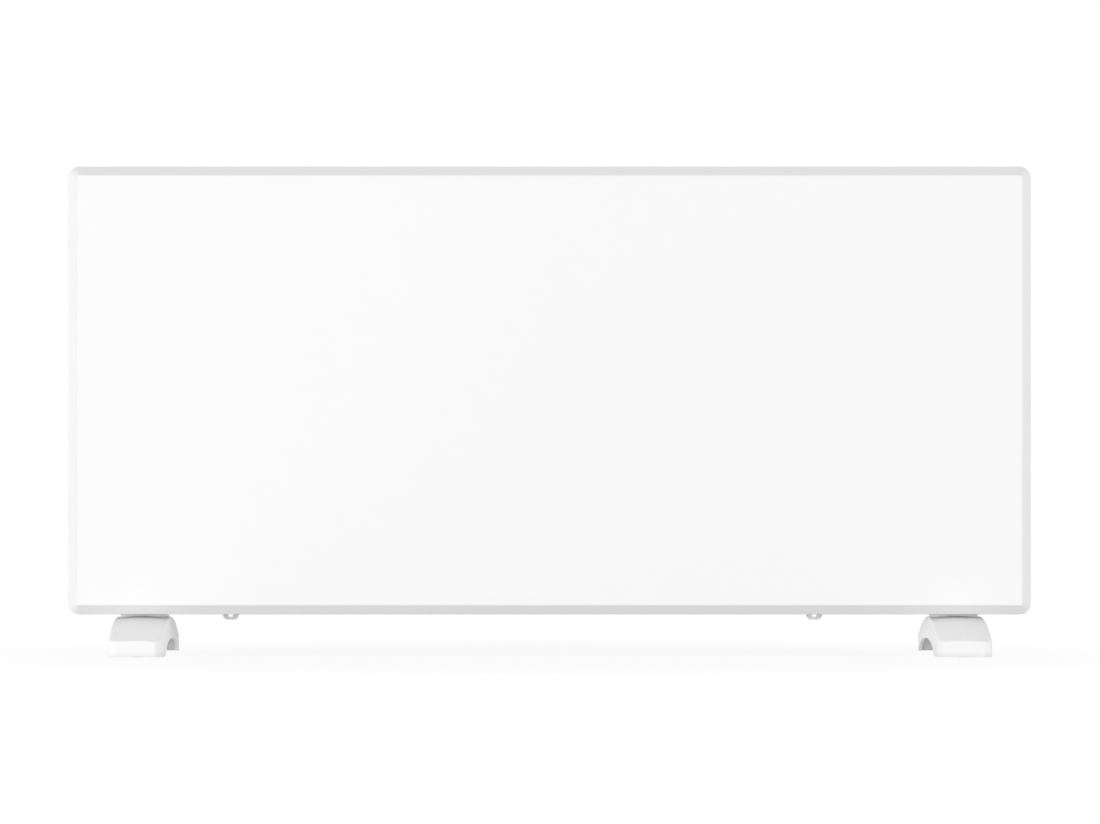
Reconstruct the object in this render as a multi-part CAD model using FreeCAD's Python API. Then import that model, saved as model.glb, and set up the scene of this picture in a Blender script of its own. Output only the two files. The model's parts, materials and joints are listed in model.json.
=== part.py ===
import FreeCAD, Part
import math
import os

from FreeCAD import Vector

# A panel heater in millimetres: a white glass front in a bevelled frame, a folded
# sheet casing behind it that works as a convector, and two arched feet.
# X runs to the right seen from the front, Y from front to back and Z upwards.
# The origin is on the floor, under the middle of the heater.

# Overall sizes
PANEL_WIDTH = 860.0  # frame, side to side
PANEL_HEIGHT = 400.0  # frame, bottom to top
BODY_DEPTH = 80.0  # front of the glass to the back of the casing
FLOOR_GAP = 36.5  # floor to the lower edge of the frame

# Clearances
SLIP_GAP = 0.3  # per side, between pieces that slip together
RUN_GAP = 0.06  # radial, round shafts and pins that turn
SCREW_GAP = 0.2  # radial, round screws, rods and posts
GLASS_GAP = 0.3  # per side, round the glass

# Front frame, glass and heat shield
FRAME_DEPTH = 24.0
FRAME_WALL = 2.0
BEVEL = 8.2  # width and depth of the sloping surround
RIM_LAND = 0.5  # flat rim between the bevel and the glass
GLASS_CORNER = 1.5  # corner radius of the glass pocket
FRAME_EDGE_ROUND = 1.6  # where the bevel turns into the side
LEDGE_WIDTH = 14.0  # seat behind the glass
WEB_WIDTH = 40.0  # rear web, in from the outside of the frame
GLASS_THICKNESS = 4.0
TAPE_THICKNESS = 1.0
TAPE_WIDTH = 10.0
SHIELD_SHEET = 0.8
SHIELD_LAP = 10.0  # heat shield past the web's opening
SHIELD_SCREWS = 4  # along the top, and as many along the bottom

# Screws and the bosses they enter
SCREW_RADIUS = 1.7
SCREW_HEAD_RADIUS = 3.2
SCREW_HEAD_HEIGHT = 2.2
SCREW_LENGTH = 9.0
BOSS_WALL = 2.2
CASING_SCREWS = 4  # up each side
SCREW_END_MARGIN = 24.0  # casing end to the first screw

# Rear casing
SHEET = 1.0
SIDE_INSET = 15.0  # frame side to casing side
END_INSET = 9.0  # frame edge to casing top or bottom
FLANGE_MARGIN = 4.0  # frame side to flange edge
CASING_CORNER = 6.0
CASING_BEND = 4.0  # outside radius where the back turns into the walls
INLET_COUNT = 14  # slots in each row of the bottom wall
INLET_ROWS = 2
INLET_WIDTH = 6.0
INLET_LAND = 10.0  # metal between two slots of a row
INLET_ROW_PITCH = 18.0
BACK_SLOT_COUNT = 36
BACK_SLOT_WIDTH = 5.0
BACK_SLOT_HEIGHT = 30.0
BACK_SLOT_RISE = 40.0  # casing bottom to the middle of the slots
RECESS_DEPTH = 2.0  # pressed field in the back wall
RECESS_SIDE = 70.0  # recess in from the ends of the heating compartment
RECESS_RISE = 95.0  # casing bottom to recess
RECESS_DROP = 85.0  # casing top to recess
RECESS_CORNER = 14.0
LUG_SPACING = 530.0
LUG_WIDTH = 14.6
LUG_CORNER = 4.5
LUG_DROP = 6.2  # lower edge of a lug under the frame
LUG_HOLE_RADIUS = 2.1
LUG_HOLE_RISE = 4.4  # lower edge of a lug to its hole
KEYHOLE_RADIUS = 5.5
KEYHOLE_SLOT = 5.5  # width of the narrow part
KEYHOLE_RISE = 11.0  # round hole to the end of the narrow part
KEYHOLE_DROP = 46.0  # casing top to the round hole

# Outlet grille
GRILLE_MARGIN = 14.0  # compartment end to the opening
GRILLE_FRONT = 7.0  # casing front to the opening
GRILLE_BACK = 9.0  # casing back to the opening
GRILLE_LIP = 3.0
GRILLE_LIP_THICKNESS = 1.5
GRILLE_WALL = 1.6
GRILLE_DROP = 8.0  # walls and slats below the lip
SLAT_COUNT = 5
SLAT_THICKNESS = 1.4
SLAT_LEAN = 35.0  # degrees from upright, tops to the front
GRILLE_RIBS = 11
HOOK_HEIGHT = 0.8
HOOK_LENGTH = 12.0
HOOK_DEPTH = 2.5
GRILLE_HOOKS = 4  # along each long side

# Heating elements and what carries them
BAY_WIDTH = 47.0  # compartment wall to the inside of the right end
BRACKET_INSET = 30.0  # inside of the left end to the bracket
BRACKET_WIDTH = 40.0
FOOT_FLANGE = 12.0  # bent foot of the bracket and the wall
ELEMENT_RISE = 75.0  # casing bottom to the lower element
ELEMENT_SPACING = 70.0
ROD_RADIUS = 4.0
FIN_TUBE_RADIUS = 6.0
FIN_REACH = 23.0  # axis to fin tip
FIN_THICKNESS = 1.2
FIN_SLITS = 16
FIN_SLIT_WIDTH = 3.0
FIN_EDGE = 4.0  # fin left whole at the tip and at the tube
FIN_END_GAP = 12.0
ROD_END = 8.0  # rod past the plate that carries it
PIN_RADIUS = 1.3
PIN_LENGTH = 8.0
PIN_PITCH = 4.6
BUSH_RADIUS = 7.0
BUSH_FLANGE_RADIUS = 9.5
BUSH_FLANGE = 2.0
BUSH_TAIL = 3.0
CUTOUT_RADIUS = 8.0
CUTOUT_RISE = 155.0  # upper element to the overheat cut-out
CUTOUT_DEPTH = 11.0
CUTOUT_EAR = 26.0
TIP_WIDTH = 22.0
TIP_HEIGHT = 26.0
TIP_DEPTH = 18.0
TIP_RISE = 60.0  # upper element to the tip-over switch
TAB_WIDTH = 6.3
TAB_THICKNESS = 0.8
TAB_LENGTH = 6.0

# Control panel on the right end
CONTROL_HEIGHT = 140.0
CONTROL_WIDTH = 46.0
CONTROL_THICKNESS = 2.0
CONTROL_LIP = 3.5
CONTROL_CORNER = 5.0
CONTROL_DROP = 10.0  # casing top to the panel
CONTROL_RIM = 6.0  # rim behind the plate
CONTROL_RIM_WALL = 1.8
CONTROL_SPACES = 5  # equal spaces above, between and below the four controls
KNOB_RADIUS = 16.0
KNOB_GRIP_RADIUS = 12.5
KNOB_SKIRT = 2.5
KNOB_HEIGHT = 11.0
KNOB_LIFT = 1.0
KNOB_CAP = 1.6
KNOB_HOLLOW_RADIUS = 10.0
KNOB_HUB_RADIUS = 5.6
FLUTE_COUNT = 18
FLUTE_RADIUS = 1.4
POINTER_WIDTH = 1.6
POINTER_DEPTH = 0.6
POINTER_START = 225.0  # degrees from the back, towards the top, at the lowest setting
SHAFT_RADIUS = 3.0
BUSHING_RADIUS = 4.8
NUT_RADIUS = 8.0
NUT_HEIGHT = 3.0
BUSHING_PAST_NUT = 0.8
THERMOSTAT_DEPTH = 22.0
THERMOSTAT_WIDTH = 24.0
THERMOSTAT_HEIGHT = 26.0
LAMP_RADIUS = 3.6
LAMP_FLANGE_RADIUS = 4.8
LAMP_FLANGE = 0.9
LAMP_DEPTH = 14.0
SWITCH_BEZEL_HEIGHT = 30.0
SWITCH_BEZEL_WIDTH = 16.0
SWITCH_BEZEL = 2.5
SWITCH_BODY_HEIGHT = 27.0
SWITCH_BODY_WIDTH = 13.4
SWITCH_BODY_DEPTH = 20.0
SWITCH_WALL = 1.2
ROCKER_SINK = 2.5  # rocker axis behind the face of the control panel
ROCKER_RISE = 4.5  # rocker axis to the middle of its top
ROCKER_DEPTH = 3.5  # rocker below its axis
ROCKER_TILT = 10.0  # degrees to each side of level
ROCKER_PIN_RADIUS = 1.3
ROCKER_PIN_LENGTH = 0.9

# Supply: terminal block, earth screw, cord gland and wires
BLOCK_RISE = 38.0  # casing bottom to the middle of the terminal block
BLOCK_POLES = 3
BLOCK_POLE_PITCH = 12.0
BLOCK_WIDTH = 20.0
BLOCK_DEPTH = 16.0
BLOCK_SCREW_RADIUS = 2.0
BLOCK_SCREW_HEAD = 1.2
EARTH_RISE = 14.0  # casing bottom to the earth screw
GLAND_RISE = 40.0
GLAND_BORE_RADIUS = 3.8
GLAND_NECK_RADIUS = 7.5
GLAND_FLANGE_RADIUS = 10.0
GLAND_FLANGE = 2.5
GLAND_SLEEVE = 9.0
GLAND_TAIL = 8.0
WIRE_RADIUS = 1.2
WIRE_BEND = 3.0
WIRE_LANE = 20.0  # wires in front of and behind the middle of the casing
WIRE_STEP = 3.8  # between wires that run side by side
TAB_REACH = 9.0  # compartment wall to the terminals on it
SWITCH_TAB_REACH = 21.0  # inside of the right end to the switch terminals

# Feet
FOOT_INSET = 65.5  # frame side to the middle of a foot
FOOT_WIDTH = 48.0
FOOT_DEPTH = 210.0
FOOT_CORNER = 8.0
FOOT_WALL = 2.4
FOOT_CROWN = 1.4
FOOT_EDGE_ROUND = 1.4
TOE_HEIGHT = 14.6
CREST_GAP = 1.3  # foot crest below the frame
ARCH_SPAN = 148.0
ARCH_HEIGHT = 14.5
ARCH_SETBACK = 14.0
SADDLE_WIDTH = 40.0
SADDLE_CORNER = 4.0
FOOT_RIB = 2.0
FOOT_RIB_REACH = 52.0
FOOT_SCREW_PITCH = 30.0
FOOT_SCREW_RADIUS = 2.0
FOOT_SCREW_HEAD_RADIUS = 4.0
FOOT_SCREW_HEAD = 2.8
FOOT_BOSS_RADIUS = 5.5
FOOT_BOSS_DROP = 12.0  # boss below the crest
FOOT_NUT_RADIUS = 4.5
FOOT_NUT_HEIGHT = 4.0
PAD_RADIUS = 6.0
PAD_HEIGHT = 3.4
PAD_PROUD = 0.6
PAD_INSET = 22.0  # front end of the foot to the pad
REAR_PAD_INSET = 9.7  # rear end of the foot to the pad
PAD_BOSS_RADIUS = 5.2
POST_RADIUS = 3.0
POST_LENGTH = 5.0

# Places that follow from the sizes
FRONT = -BODY_DEPTH / 2
BACK = BODY_DEPTH / 2
RIGHT = PANEL_WIDTH / 2
PANEL_TOP = FLOOR_GAP + PANEL_HEIGHT
FRAME_BACK = FRONT + FRAME_DEPTH
FRAME_CORNER = GLASS_CORNER + RIM_LAND + BEVEL
POCKET_INSET = BEVEL + RIM_LAND
LEDGE_FRONT = FRONT + GLASS_THICKNESS + TAPE_THICKNESS
LEDGE_BACK = LEDGE_FRONT + BEVEL
WEB_FRONT = FRAME_BACK - FRAME_WALL
CASING_FRONT = FRAME_BACK + SHEET
CASING_RIGHT = RIGHT - SIDE_INSET
CASING_BOTTOM = FLOOR_GAP + END_INSET
CASING_TOP = PANEL_TOP - END_INSET
INSIDE_RIGHT = CASING_RIGHT - SHEET
INSIDE_BACK = BACK - SHEET
INSIDE_BOTTOM = CASING_BOTTOM + SHEET
INSIDE_TOP = CASING_TOP - SHEET
MIDDLE = (CASING_FRONT + INSIDE_BACK) / 2
WALL_LEFT = INSIDE_RIGHT - BAY_WIDTH
WALL_RIGHT = WALL_LEFT + SHEET
BRACKET_LEFT = BRACKET_INSET - INSIDE_RIGHT
BRACKET_RIGHT = BRACKET_LEFT + SHEET
DUCT_MIDDLE = (WALL_LEFT - CASING_RIGHT) / 2
FLANGE_MIDDLE = RIGHT - (FLANGE_MARGIN + SIDE_INSET) / 2
LUG_BOTTOM = FLOOR_GAP - LUG_DROP
ELEMENT_LOW = CASING_BOTTOM + ELEMENT_RISE
ELEMENT_HIGH = ELEMENT_LOW + ELEMENT_SPACING
CONTROL_TOP = CASING_TOP - CONTROL_DROP
CONTROL_FACE = CASING_RIGHT + CONTROL_THICKNESS
CONTROLS_FILL = 2 * (KNOB_RADIUS + LAMP_FLANGE_RADIUS + SWITCH_BEZEL_HEIGHT)
CONTROL_SPACE = (CONTROL_HEIGHT - CONTROLS_FILL) / CONTROL_SPACES
KNOB_DROP = CONTROL_SPACE + KNOB_RADIUS  # top of the control panel to the knob
LAMP_DROP = KNOB_DROP + KNOB_RADIUS + CONTROL_SPACE + LAMP_FLANGE_RADIUS
SWITCH_DROP = LAMP_DROP + LAMP_FLANGE_RADIUS + CONTROL_SPACE + SWITCH_BEZEL_HEIGHT / 2
SWITCH_PITCH = SWITCH_BEZEL_HEIGHT + CONTROL_SPACE
KNOB_Z = CONTROL_TOP - KNOB_DROP
SWITCH_HIGH = CONTROL_TOP - SWITCH_DROP
SWITCH_LOW = SWITCH_HIGH - SWITCH_PITCH
ROCKER_AXIS = CONTROL_FACE - ROCKER_SINK
FOOT_MIDDLE = RIGHT - FOOT_INSET
CREST = FLOOR_GAP - CREST_GAP
SADDLE_FRONT = CASING_FRONT + SLIP_GAP
SADDLE_BACK = BACK - CASING_BEND
BLOCK_MIDDLE = CASING_BOTTOM + BLOCK_RISE
TAB_X = WALL_RIGHT + TAB_REACH
SWITCH_TAB_X = INSIDE_RIGHT - SWITCH_TAB_REACH
FRONT_LANE = MIDDLE - WIRE_LANE
REAR_LANE = MIDDLE + WIRE_LANE
EARTH_Y = REAR_LANE - WIRE_STEP / 2
CUTOUT_Z = ELEMENT_HIGH + CUTOUT_RISE
TIP_Z = ELEMENT_HIGH + TIP_RISE

X_AXIS = Vector(1, 0, 0)
Y_AXIS = Vector(0, 1, 0)
Z_AXIS = Vector(0, 0, 1)


# Shapes that several pieces use


def block(x0, x1, y0, y1, z0, z1):
    """A box between two corners."""
    return Part.makeBox(x1 - x0, y1 - y0, z1 - z0, Vector(x0, y0, z0))


def rod_x(radius, x0, x1, y, z):
    """A cylinder along X."""
    return Part.makeCylinder(radius, x1 - x0, Vector(x0, y, z), X_AXIS)


def rod_y(radius, y0, y1, x, z):
    """A cylinder along Y."""
    return Part.makeCylinder(radius, y1 - y0, Vector(x, y0, z), Y_AXIS)


def rod_z(radius, z0, z1, x, y):
    """A cylinder along Z."""
    return Part.makeCylinder(radius, z1 - z0, Vector(x, y, z0), Z_AXIS)


def edges_along(shape, axis):
    """The straight edges of a shape that run along an axis."""
    chosen = []
    for edge in shape.Edges:
        if not isinstance(edge.Curve, (Part.Line, Part.LineSegment)):
            continue
        span = edge.Vertexes[-1].Point - edge.Vertexes[0].Point
        if span.cross(axis).Length < 1e-6:
            chosen.append(edge)
    return chosen


def edges_at(shape, axis, place):
    """The edges of a shape that lie in the plane where the axis has that value."""
    chosen = []
    for edge in shape.Edges:
        middle = edge.valueAt((edge.FirstParameter + edge.LastParameter) / 2)
        points = [middle] + [vertex.Point for vertex in edge.Vertexes]
        if all(abs(point.dot(axis) - place) < 1e-6 for point in points):
            chosen.append(edge)
    return chosen


def rounded_block(x0, x1, y0, y1, z0, z1, corner, axis):
    """A box whose edges along one axis are rounded."""
    solid = block(x0, x1, y0, y1, z0, z1)
    return solid.makeFillet(corner, edges_along(solid, axis))


def panel(inset, y0, y1, corner):
    """A slab with the outline of the frame, drawn in by inset on all sides."""
    x = RIGHT - inset
    return rounded_block(-x, x, y0, y1, FLOOR_GAP + inset, PANEL_TOP - inset, corner, Y_AXIS)


def obround(centre, along, across, length, width, depth):
    """A cutter with round ends: along and across are directions, depth is its sweep."""
    reach = along * (length / 2 - width / 2)
    tip = along * (length / 2)
    side = across * (width / 2)
    low_left = centre - reach - side
    low_right = centre + reach - side
    high_right = centre + reach + side
    high_left = centre - reach + side
    outline = [
        Part.makeLine(low_left, low_right),
        Part.Arc(low_right, centre + tip, high_right).toShape(),
        Part.makeLine(high_right, high_left),
        Part.Arc(high_left, centre - tip, low_left).toShape(),
    ]
    return Part.Face(Part.Wire(outline)).extrude(depth)


def prism(points, sweep):
    """A straight prism over a closed outline."""
    return Part.Face(Part.makePolygon(points + points[:1])).extrude(sweep)


def spread(start, end, count):
    """Evenly spaced places from start to end, both included."""
    return [start + (end - start) * i / (count - 1) for i in range(count)]


def screw(seat, into, length, radius, head_radius, head_height):
    """A pan-head screw: the head sits on the seat point, the shank runs along into."""
    head = Part.makeCylinder(head_radius, head_height, seat - into * head_height, into)
    shank = Part.makeCylinder(radius, length, seat, into)
    return head.fuse(shank)


def wire(points):
    """A wire that runs through the points with rounded turns."""
    edges = []
    start = points[0]
    for before, corner, after in zip(points, points[1:], points[2:]):
        back = (before - corner).normalize()
        ahead = (after - corner).normalize()
        half = back.getAngle(ahead) / 2
        trim = WIRE_BEND / math.tan(half)
        entry = corner + back * trim
        leave = corner + ahead * trim
        inward = (back + ahead).normalize()
        middle = corner + inward * (WIRE_BEND / math.sin(half) - WIRE_BEND)
        edges.append(Part.makeLine(start, entry))
        edges.append(Part.Arc(entry, middle, leave).toShape())
        start = leave
    edges.append(Part.makeLine(start, points[-1]))
    section = Part.makeCircle(WIRE_RADIUS, points[0], points[1] - points[0])
    return Part.Wire(edges).makePipeShell([Part.Wire(section)], True, False)


def tab_along_y(x, y0, y1, z):
    """A flat terminal that runs along Y."""
    thin = TAB_THICKNESS / 2
    wide = TAB_WIDTH / 2
    return block(x - thin, x + thin, y0, y1, z - wide, z + wide)


# Front: frame, glass, tape and heat shield


def casing_screw_places():
    """Where the screws enter the casing's side flanges, as x and z."""
    heights = spread(CASING_BOTTOM + SCREW_END_MARGIN, CASING_TOP - SCREW_END_MARGIN, CASING_SCREWS)
    return [(side * FLANGE_MIDDLE, z) for side in (-1, 1) for z in heights]


def shield_screw_places():
    """Where the screws enter the heat shield, as x and z."""
    edge = WEB_WIDTH - SHIELD_LAP / 2
    reach = RIGHT - 2 * WEB_WIDTH
    heights = (FLOOR_GAP + edge, PANEL_TOP - edge)
    return [(x, z) for z in heights for x in spread(-reach, reach, SHIELD_SCREWS)]


def front_frame():
    """The bevelled surround: a channel with a seat for the glass and a rear web."""
    body = panel(0, FRONT, FRAME_BACK, FRAME_CORNER)
    body = body.makeChamfer(BEVEL, edges_at(body, Y_AXIS, FRONT))
    body = body.makeFillet(FRAME_EDGE_ROUND, edges_at(body, Y_AXIS, FRONT + BEVEL))
    pocket = panel(POCKET_INSET, FRONT, LEDGE_FRONT, GLASS_CORNER)
    window = panel(POCKET_INSET + LEDGE_WIDTH, LEDGE_FRONT, LEDGE_BACK, GLASS_CORNER)
    channel = panel(FRAME_WALL, LEDGE_BACK, WEB_FRONT, FRAME_CORNER - FRAME_WALL)
    opening = panel(WEB_WIDTH, WEB_FRONT, FRAME_BACK, CASING_CORNER)
    body = body.cut([pocket, window, channel, opening])
    places = casing_screw_places() + shield_screw_places()
    boss_radius = SCREW_RADIUS + SCREW_GAP + BOSS_WALL
    boss_front = FRAME_BACK - SCREW_LENGTH
    bosses = [rod_y(boss_radius, boss_front, WEB_FRONT, x, z) for x, z in places]
    holes = [rod_y(SCREW_RADIUS + SCREW_GAP, boss_front, FRAME_BACK, x, z) for x, z in places]
    return body.fuse(bosses).cut(holes)


def front_glass():
    """The toughened glass front with eased edges."""
    glass = panel(POCKET_INSET + GLASS_GAP, FRONT, FRONT + GLASS_THICKNESS, GLASS_CORNER)
    return glass.makeChamfer(GLASS_GAP, edges_at(glass, Y_AXIS, FRONT))


def glass_tape():
    """Four strips of foam tape between the glass and its seat."""
    outer = POCKET_INSET + (LEDGE_WIDTH - TAPE_WIDTH) / 2
    inner = outer + TAPE_WIDTH
    front = LEDGE_FRONT - TAPE_THICKNESS
    x_out = RIGHT - outer
    x_in = RIGHT - inner
    strips = []
    for z in (FLOOR_GAP + outer, PANEL_TOP - inner):
        strips.append(block(-x_out, x_out, front, LEDGE_FRONT, z, z + TAPE_WIDTH))
    for x in (-x_out, x_in):
        low = FLOOR_GAP + inner + SLIP_GAP
        high = PANEL_TOP - inner - SLIP_GAP
        strips.append(block(x, x + TAPE_WIDTH, front, LEDGE_FRONT, low, high))
    return Part.makeCompound(strips)


def heat_shield():
    """The plate between the glass and the elements, on the back of the frame's web."""
    plate = panel(WEB_WIDTH - SHIELD_LAP, FRAME_BACK, FRAME_BACK + SHIELD_SHEET, CASING_CORNER)
    radius = SCREW_RADIUS + SCREW_GAP
    return plate.cut([rod_y(radius, FRAME_BACK, CASING_FRONT, x, z) for x, z in shield_screw_places()])


def rear_screws(places, seat):
    """Screws from behind into the bosses of the frame."""
    head = (SCREW_HEAD_RADIUS, SCREW_HEAD_HEIGHT)
    screws = []
    for x, z in places:
        screws.append(screw(Vector(x, seat, z), -Y_AXIS, SCREW_LENGTH, SCREW_RADIUS, *head))
    return Part.makeCompound(screws)


# Rear casing and outlet grille


def casing_shell(outset, front, back, bend):
    """The body of the casing, grown by outset, with its back edge rounded."""
    x = CASING_RIGHT + outset
    low = CASING_BOTTOM - outset
    high = CASING_TOP + outset
    body = rounded_block(-x, x, front, back, low, high, CASING_CORNER + outset, Y_AXIS)
    return body.makeFillet(bend, edges_at(body, Y_AXIS, back))


def inlet_band():
    """Half the length of the slotted band between the feet."""
    return FOOT_MIDDLE - SADDLE_WIDTH / 2 - INLET_LAND


def inlet_slots():
    """Cutters for the slots in the bottom wall and low in the back wall."""
    band = inlet_band()
    pitch = 2 * band / INLET_COUNT
    first_row = MIDDLE - INLET_ROW_PITCH * (INLET_ROWS - 1) / 2
    cutters = []
    for row in range(INLET_ROWS):
        for i in range(INLET_COUNT):
            centre = Vector((i + 0.5) * pitch - band, first_row + row * INLET_ROW_PITCH, CASING_BOTTOM)
            cutters.append(obround(centre, X_AXIS, Y_AXIS, pitch - INLET_LAND, INLET_WIDTH, Z_AXIS * SHEET))
    for x in spread(-band, band, BACK_SLOT_COUNT):
        centre = Vector(x, INSIDE_BACK, CASING_BOTTOM + BACK_SLOT_RISE)
        cutters.append(obround(centre, Z_AXIS, X_AXIS, BACK_SLOT_HEIGHT, BACK_SLOT_WIDTH, Y_AXIS * SHEET))
    return cutters


def lug_places():
    """Where the lugs and the keyholes sit across the casing."""
    return [DUCT_MIDDLE - LUG_SPACING / 2, DUCT_MIDDLE + LUG_SPACING / 2]


def lug(x):
    """A tab lanced out of the bottom wall, in line with the back wall."""
    half = LUG_WIDTH / 2
    plate = block(x - half, x + half, INSIDE_BACK, BACK, LUG_BOTTOM, CASING_BOTTOM + 2 * CASING_BEND)
    corners = [edge for edge in edges_along(plate, Y_AXIS) if edge.BoundBox.ZMax < CASING_BOTTOM]
    plate = plate.makeFillet(LUG_CORNER, corners)
    hole = rod_y(LUG_HOLE_RADIUS, INSIDE_BACK, BACK, x, LUG_BOTTOM + LUG_HOLE_RISE)
    return plate.cut(hole)


def lug_window(x):
    """The hole that a lug leaves in the bottom wall."""
    half = LUG_WIDTH / 2 + SLIP_GAP
    length = CASING_BOTTOM - LUG_BOTTOM
    return block(x - half, x + half, INSIDE_BACK - length, BACK, CASING_BOTTOM, CASING_BOTTOM + CASING_BEND)


def keyhole(x):
    """The round part and the narrow part of a hanging slot."""
    z = CASING_TOP - KEYHOLE_DROP
    slot_middle = Vector(x, INSIDE_BACK, z + KEYHOLE_RISE / 2)
    length = KEYHOLE_RISE + KEYHOLE_SLOT
    narrow = obround(slot_middle, Z_AXIS, X_AXIS, length, KEYHOLE_SLOT, Y_AXIS * SHEET)
    return rod_y(KEYHOLE_RADIUS, INSIDE_BACK, BACK, x, z).fuse(narrow)


def recess(grow, y0, y1):
    """The pressed field of the back wall, grown on all sides."""
    x0 = -CASING_RIGHT + RECESS_SIDE - grow
    x1 = WALL_LEFT - RECESS_SIDE + grow
    z0 = CASING_BOTTOM + RECESS_RISE - grow
    z1 = CASING_TOP - RECESS_DROP + grow
    return rounded_block(x0, x1, y0, y1, z0, z1, RECESS_CORNER + grow, Y_AXIS)


def grille_opening(inset, z0, z1):
    """The outlet opening in the top wall, drawn in by inset."""
    x0 = -INSIDE_RIGHT + GRILLE_MARGIN + inset
    x1 = WALL_LEFT - GRILLE_MARGIN - inset
    y0 = CASING_FRONT + GRILLE_FRONT + inset
    y1 = BACK - GRILLE_BACK - inset
    return block(x0, x1, y0, y1, z0, z1)


def control_opening(inset, x0, x1):
    """The opening for the control panel in the right wall, drawn in by inset."""
    half = CONTROL_WIDTH / 2 - CONTROL_LIP - inset
    low = CONTROL_TOP - CONTROL_HEIGHT + CONTROL_LIP + inset
    high = CONTROL_TOP - CONTROL_LIP - inset
    return block(x0, x1, MIDDLE - half, MIDDLE + half, low, high)


def rear_casing():
    """The folded casing with its flange, slots, pressed field, keyholes and lugs."""
    outer = casing_shell(0, CASING_FRONT, BACK, CASING_BEND)
    inner = casing_shell(-SHEET, CASING_FRONT, INSIDE_BACK, CASING_BEND - SHEET)
    rim = panel(FLANGE_MARGIN, FRAME_BACK, CASING_FRONT, FRAME_CORNER - FLANGE_MARGIN)
    x = INSIDE_RIGHT
    mouth = rounded_block(-x, x, FRAME_BACK, CASING_FRONT, INSIDE_BOTTOM, INSIDE_TOP, CASING_CORNER, Y_AXIS)
    body = outer.cut(inner).fuse(rim.cut(mouth))
    body = body.fuse(recess(SHEET, INSIDE_BACK - RECESS_DEPTH, INSIDE_BACK))
    cutters = inlet_slots()
    cutters.append(recess(0, BACK - RECESS_DEPTH, BACK))
    cutters.append(grille_opening(0, INSIDE_TOP, CASING_TOP))
    cutters.append(control_opening(0, INSIDE_RIGHT, CASING_RIGHT))
    hole = GLAND_NECK_RADIUS + SLIP_GAP
    cutters.append(rod_x(hole, INSIDE_RIGHT, CASING_RIGHT, MIDDLE, CASING_BOTTOM + GLAND_RISE))
    hole = SCREW_RADIUS + SCREW_GAP
    cutters += [rod_y(hole, FRAME_BACK, CASING_FRONT, px, pz) for px, pz in casing_screw_places()]
    hole = FOOT_SCREW_RADIUS + SCREW_GAP
    cutters += [rod_z(hole, CASING_BOTTOM, INSIDE_BOTTOM, px, py) for px, py in foot_screw_places()]
    for place in lug_places():
        cutters.append(keyhole(place))
        cutters.append(lug_window(place))
    return body.cut(cutters).fuse([lug(place) for place in lug_places()]).removeSplitter()


def grille_slat(x0, x1, y):
    """One leaning slat: y is the place of its foot."""
    low = CASING_TOP - GRILLE_DROP
    high = CASING_TOP + GRILLE_LIP_THICKNESS
    lean = (high - low) * math.tan(math.radians(SLAT_LEAN))
    width = SLAT_THICKNESS / math.cos(math.radians(SLAT_LEAN))
    points = [
        Vector(x0, y, low),
        Vector(x0, y + width, low),
        Vector(x0, y + width - lean, high),
        Vector(x0, y - lean, high),
    ]
    return prism(points, X_AXIS * (x1 - x0))


def outlet_grille():
    """The outlet in the top of the casing: a lip, walls, leaning slats and cross ribs."""
    low = CASING_TOP - GRILLE_DROP
    high = CASING_TOP + GRILLE_LIP_THICKNESS
    lip = grille_opening(-GRILLE_LIP, CASING_TOP, high)
    walls = grille_opening(SLIP_GAP, low, CASING_TOP)
    hole = grille_opening(SLIP_GAP + GRILLE_WALL, low, high)
    box = hole.BoundBox
    lean = (high - low) * math.tan(math.radians(SLAT_LEAN))
    pitch = (box.YLength + lean) / (SLAT_COUNT + 1)
    slats = [grille_slat(box.XMin, box.XMax, box.YMin + pitch * (i + 1)) for i in range(SLAT_COUNT)]
    half = GRILLE_WALL / 2
    ribs = []
    for x in spread(box.XMin, box.XMax, GRILLE_RIBS + 2)[1:-1]:
        ribs.append(block(x - half, x + half, box.YMin, box.YMax, low, CASING_TOP))
    hooks = []
    top = INSIDE_TOP - SLIP_GAP
    for x in spread(box.XMin, box.XMax, GRILLE_HOOKS + 2)[1:-1]:
        reach = HOOK_HEIGHT + SLIP_GAP
        y0 = walls.BoundBox.YMin - reach
        y1 = walls.BoundBox.YMax + reach
        hooks.append(block(x, x + HOOK_LENGTH, y0, box.YMin, top - HOOK_DEPTH, top))
        hooks.append(block(x, x + HOOK_LENGTH, box.YMax, y1, top - HOOK_DEPTH, top))
    inside = [piece.common(hole) for piece in slats + ribs]
    return lip.fuse(walls).cut(hole).fuse(inside + hooks).removeSplitter()


# Heating elements and what carries them


def element_heights():
    """The heights of the two elements."""
    return (ELEMENT_LOW, ELEMENT_HIGH)


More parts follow.
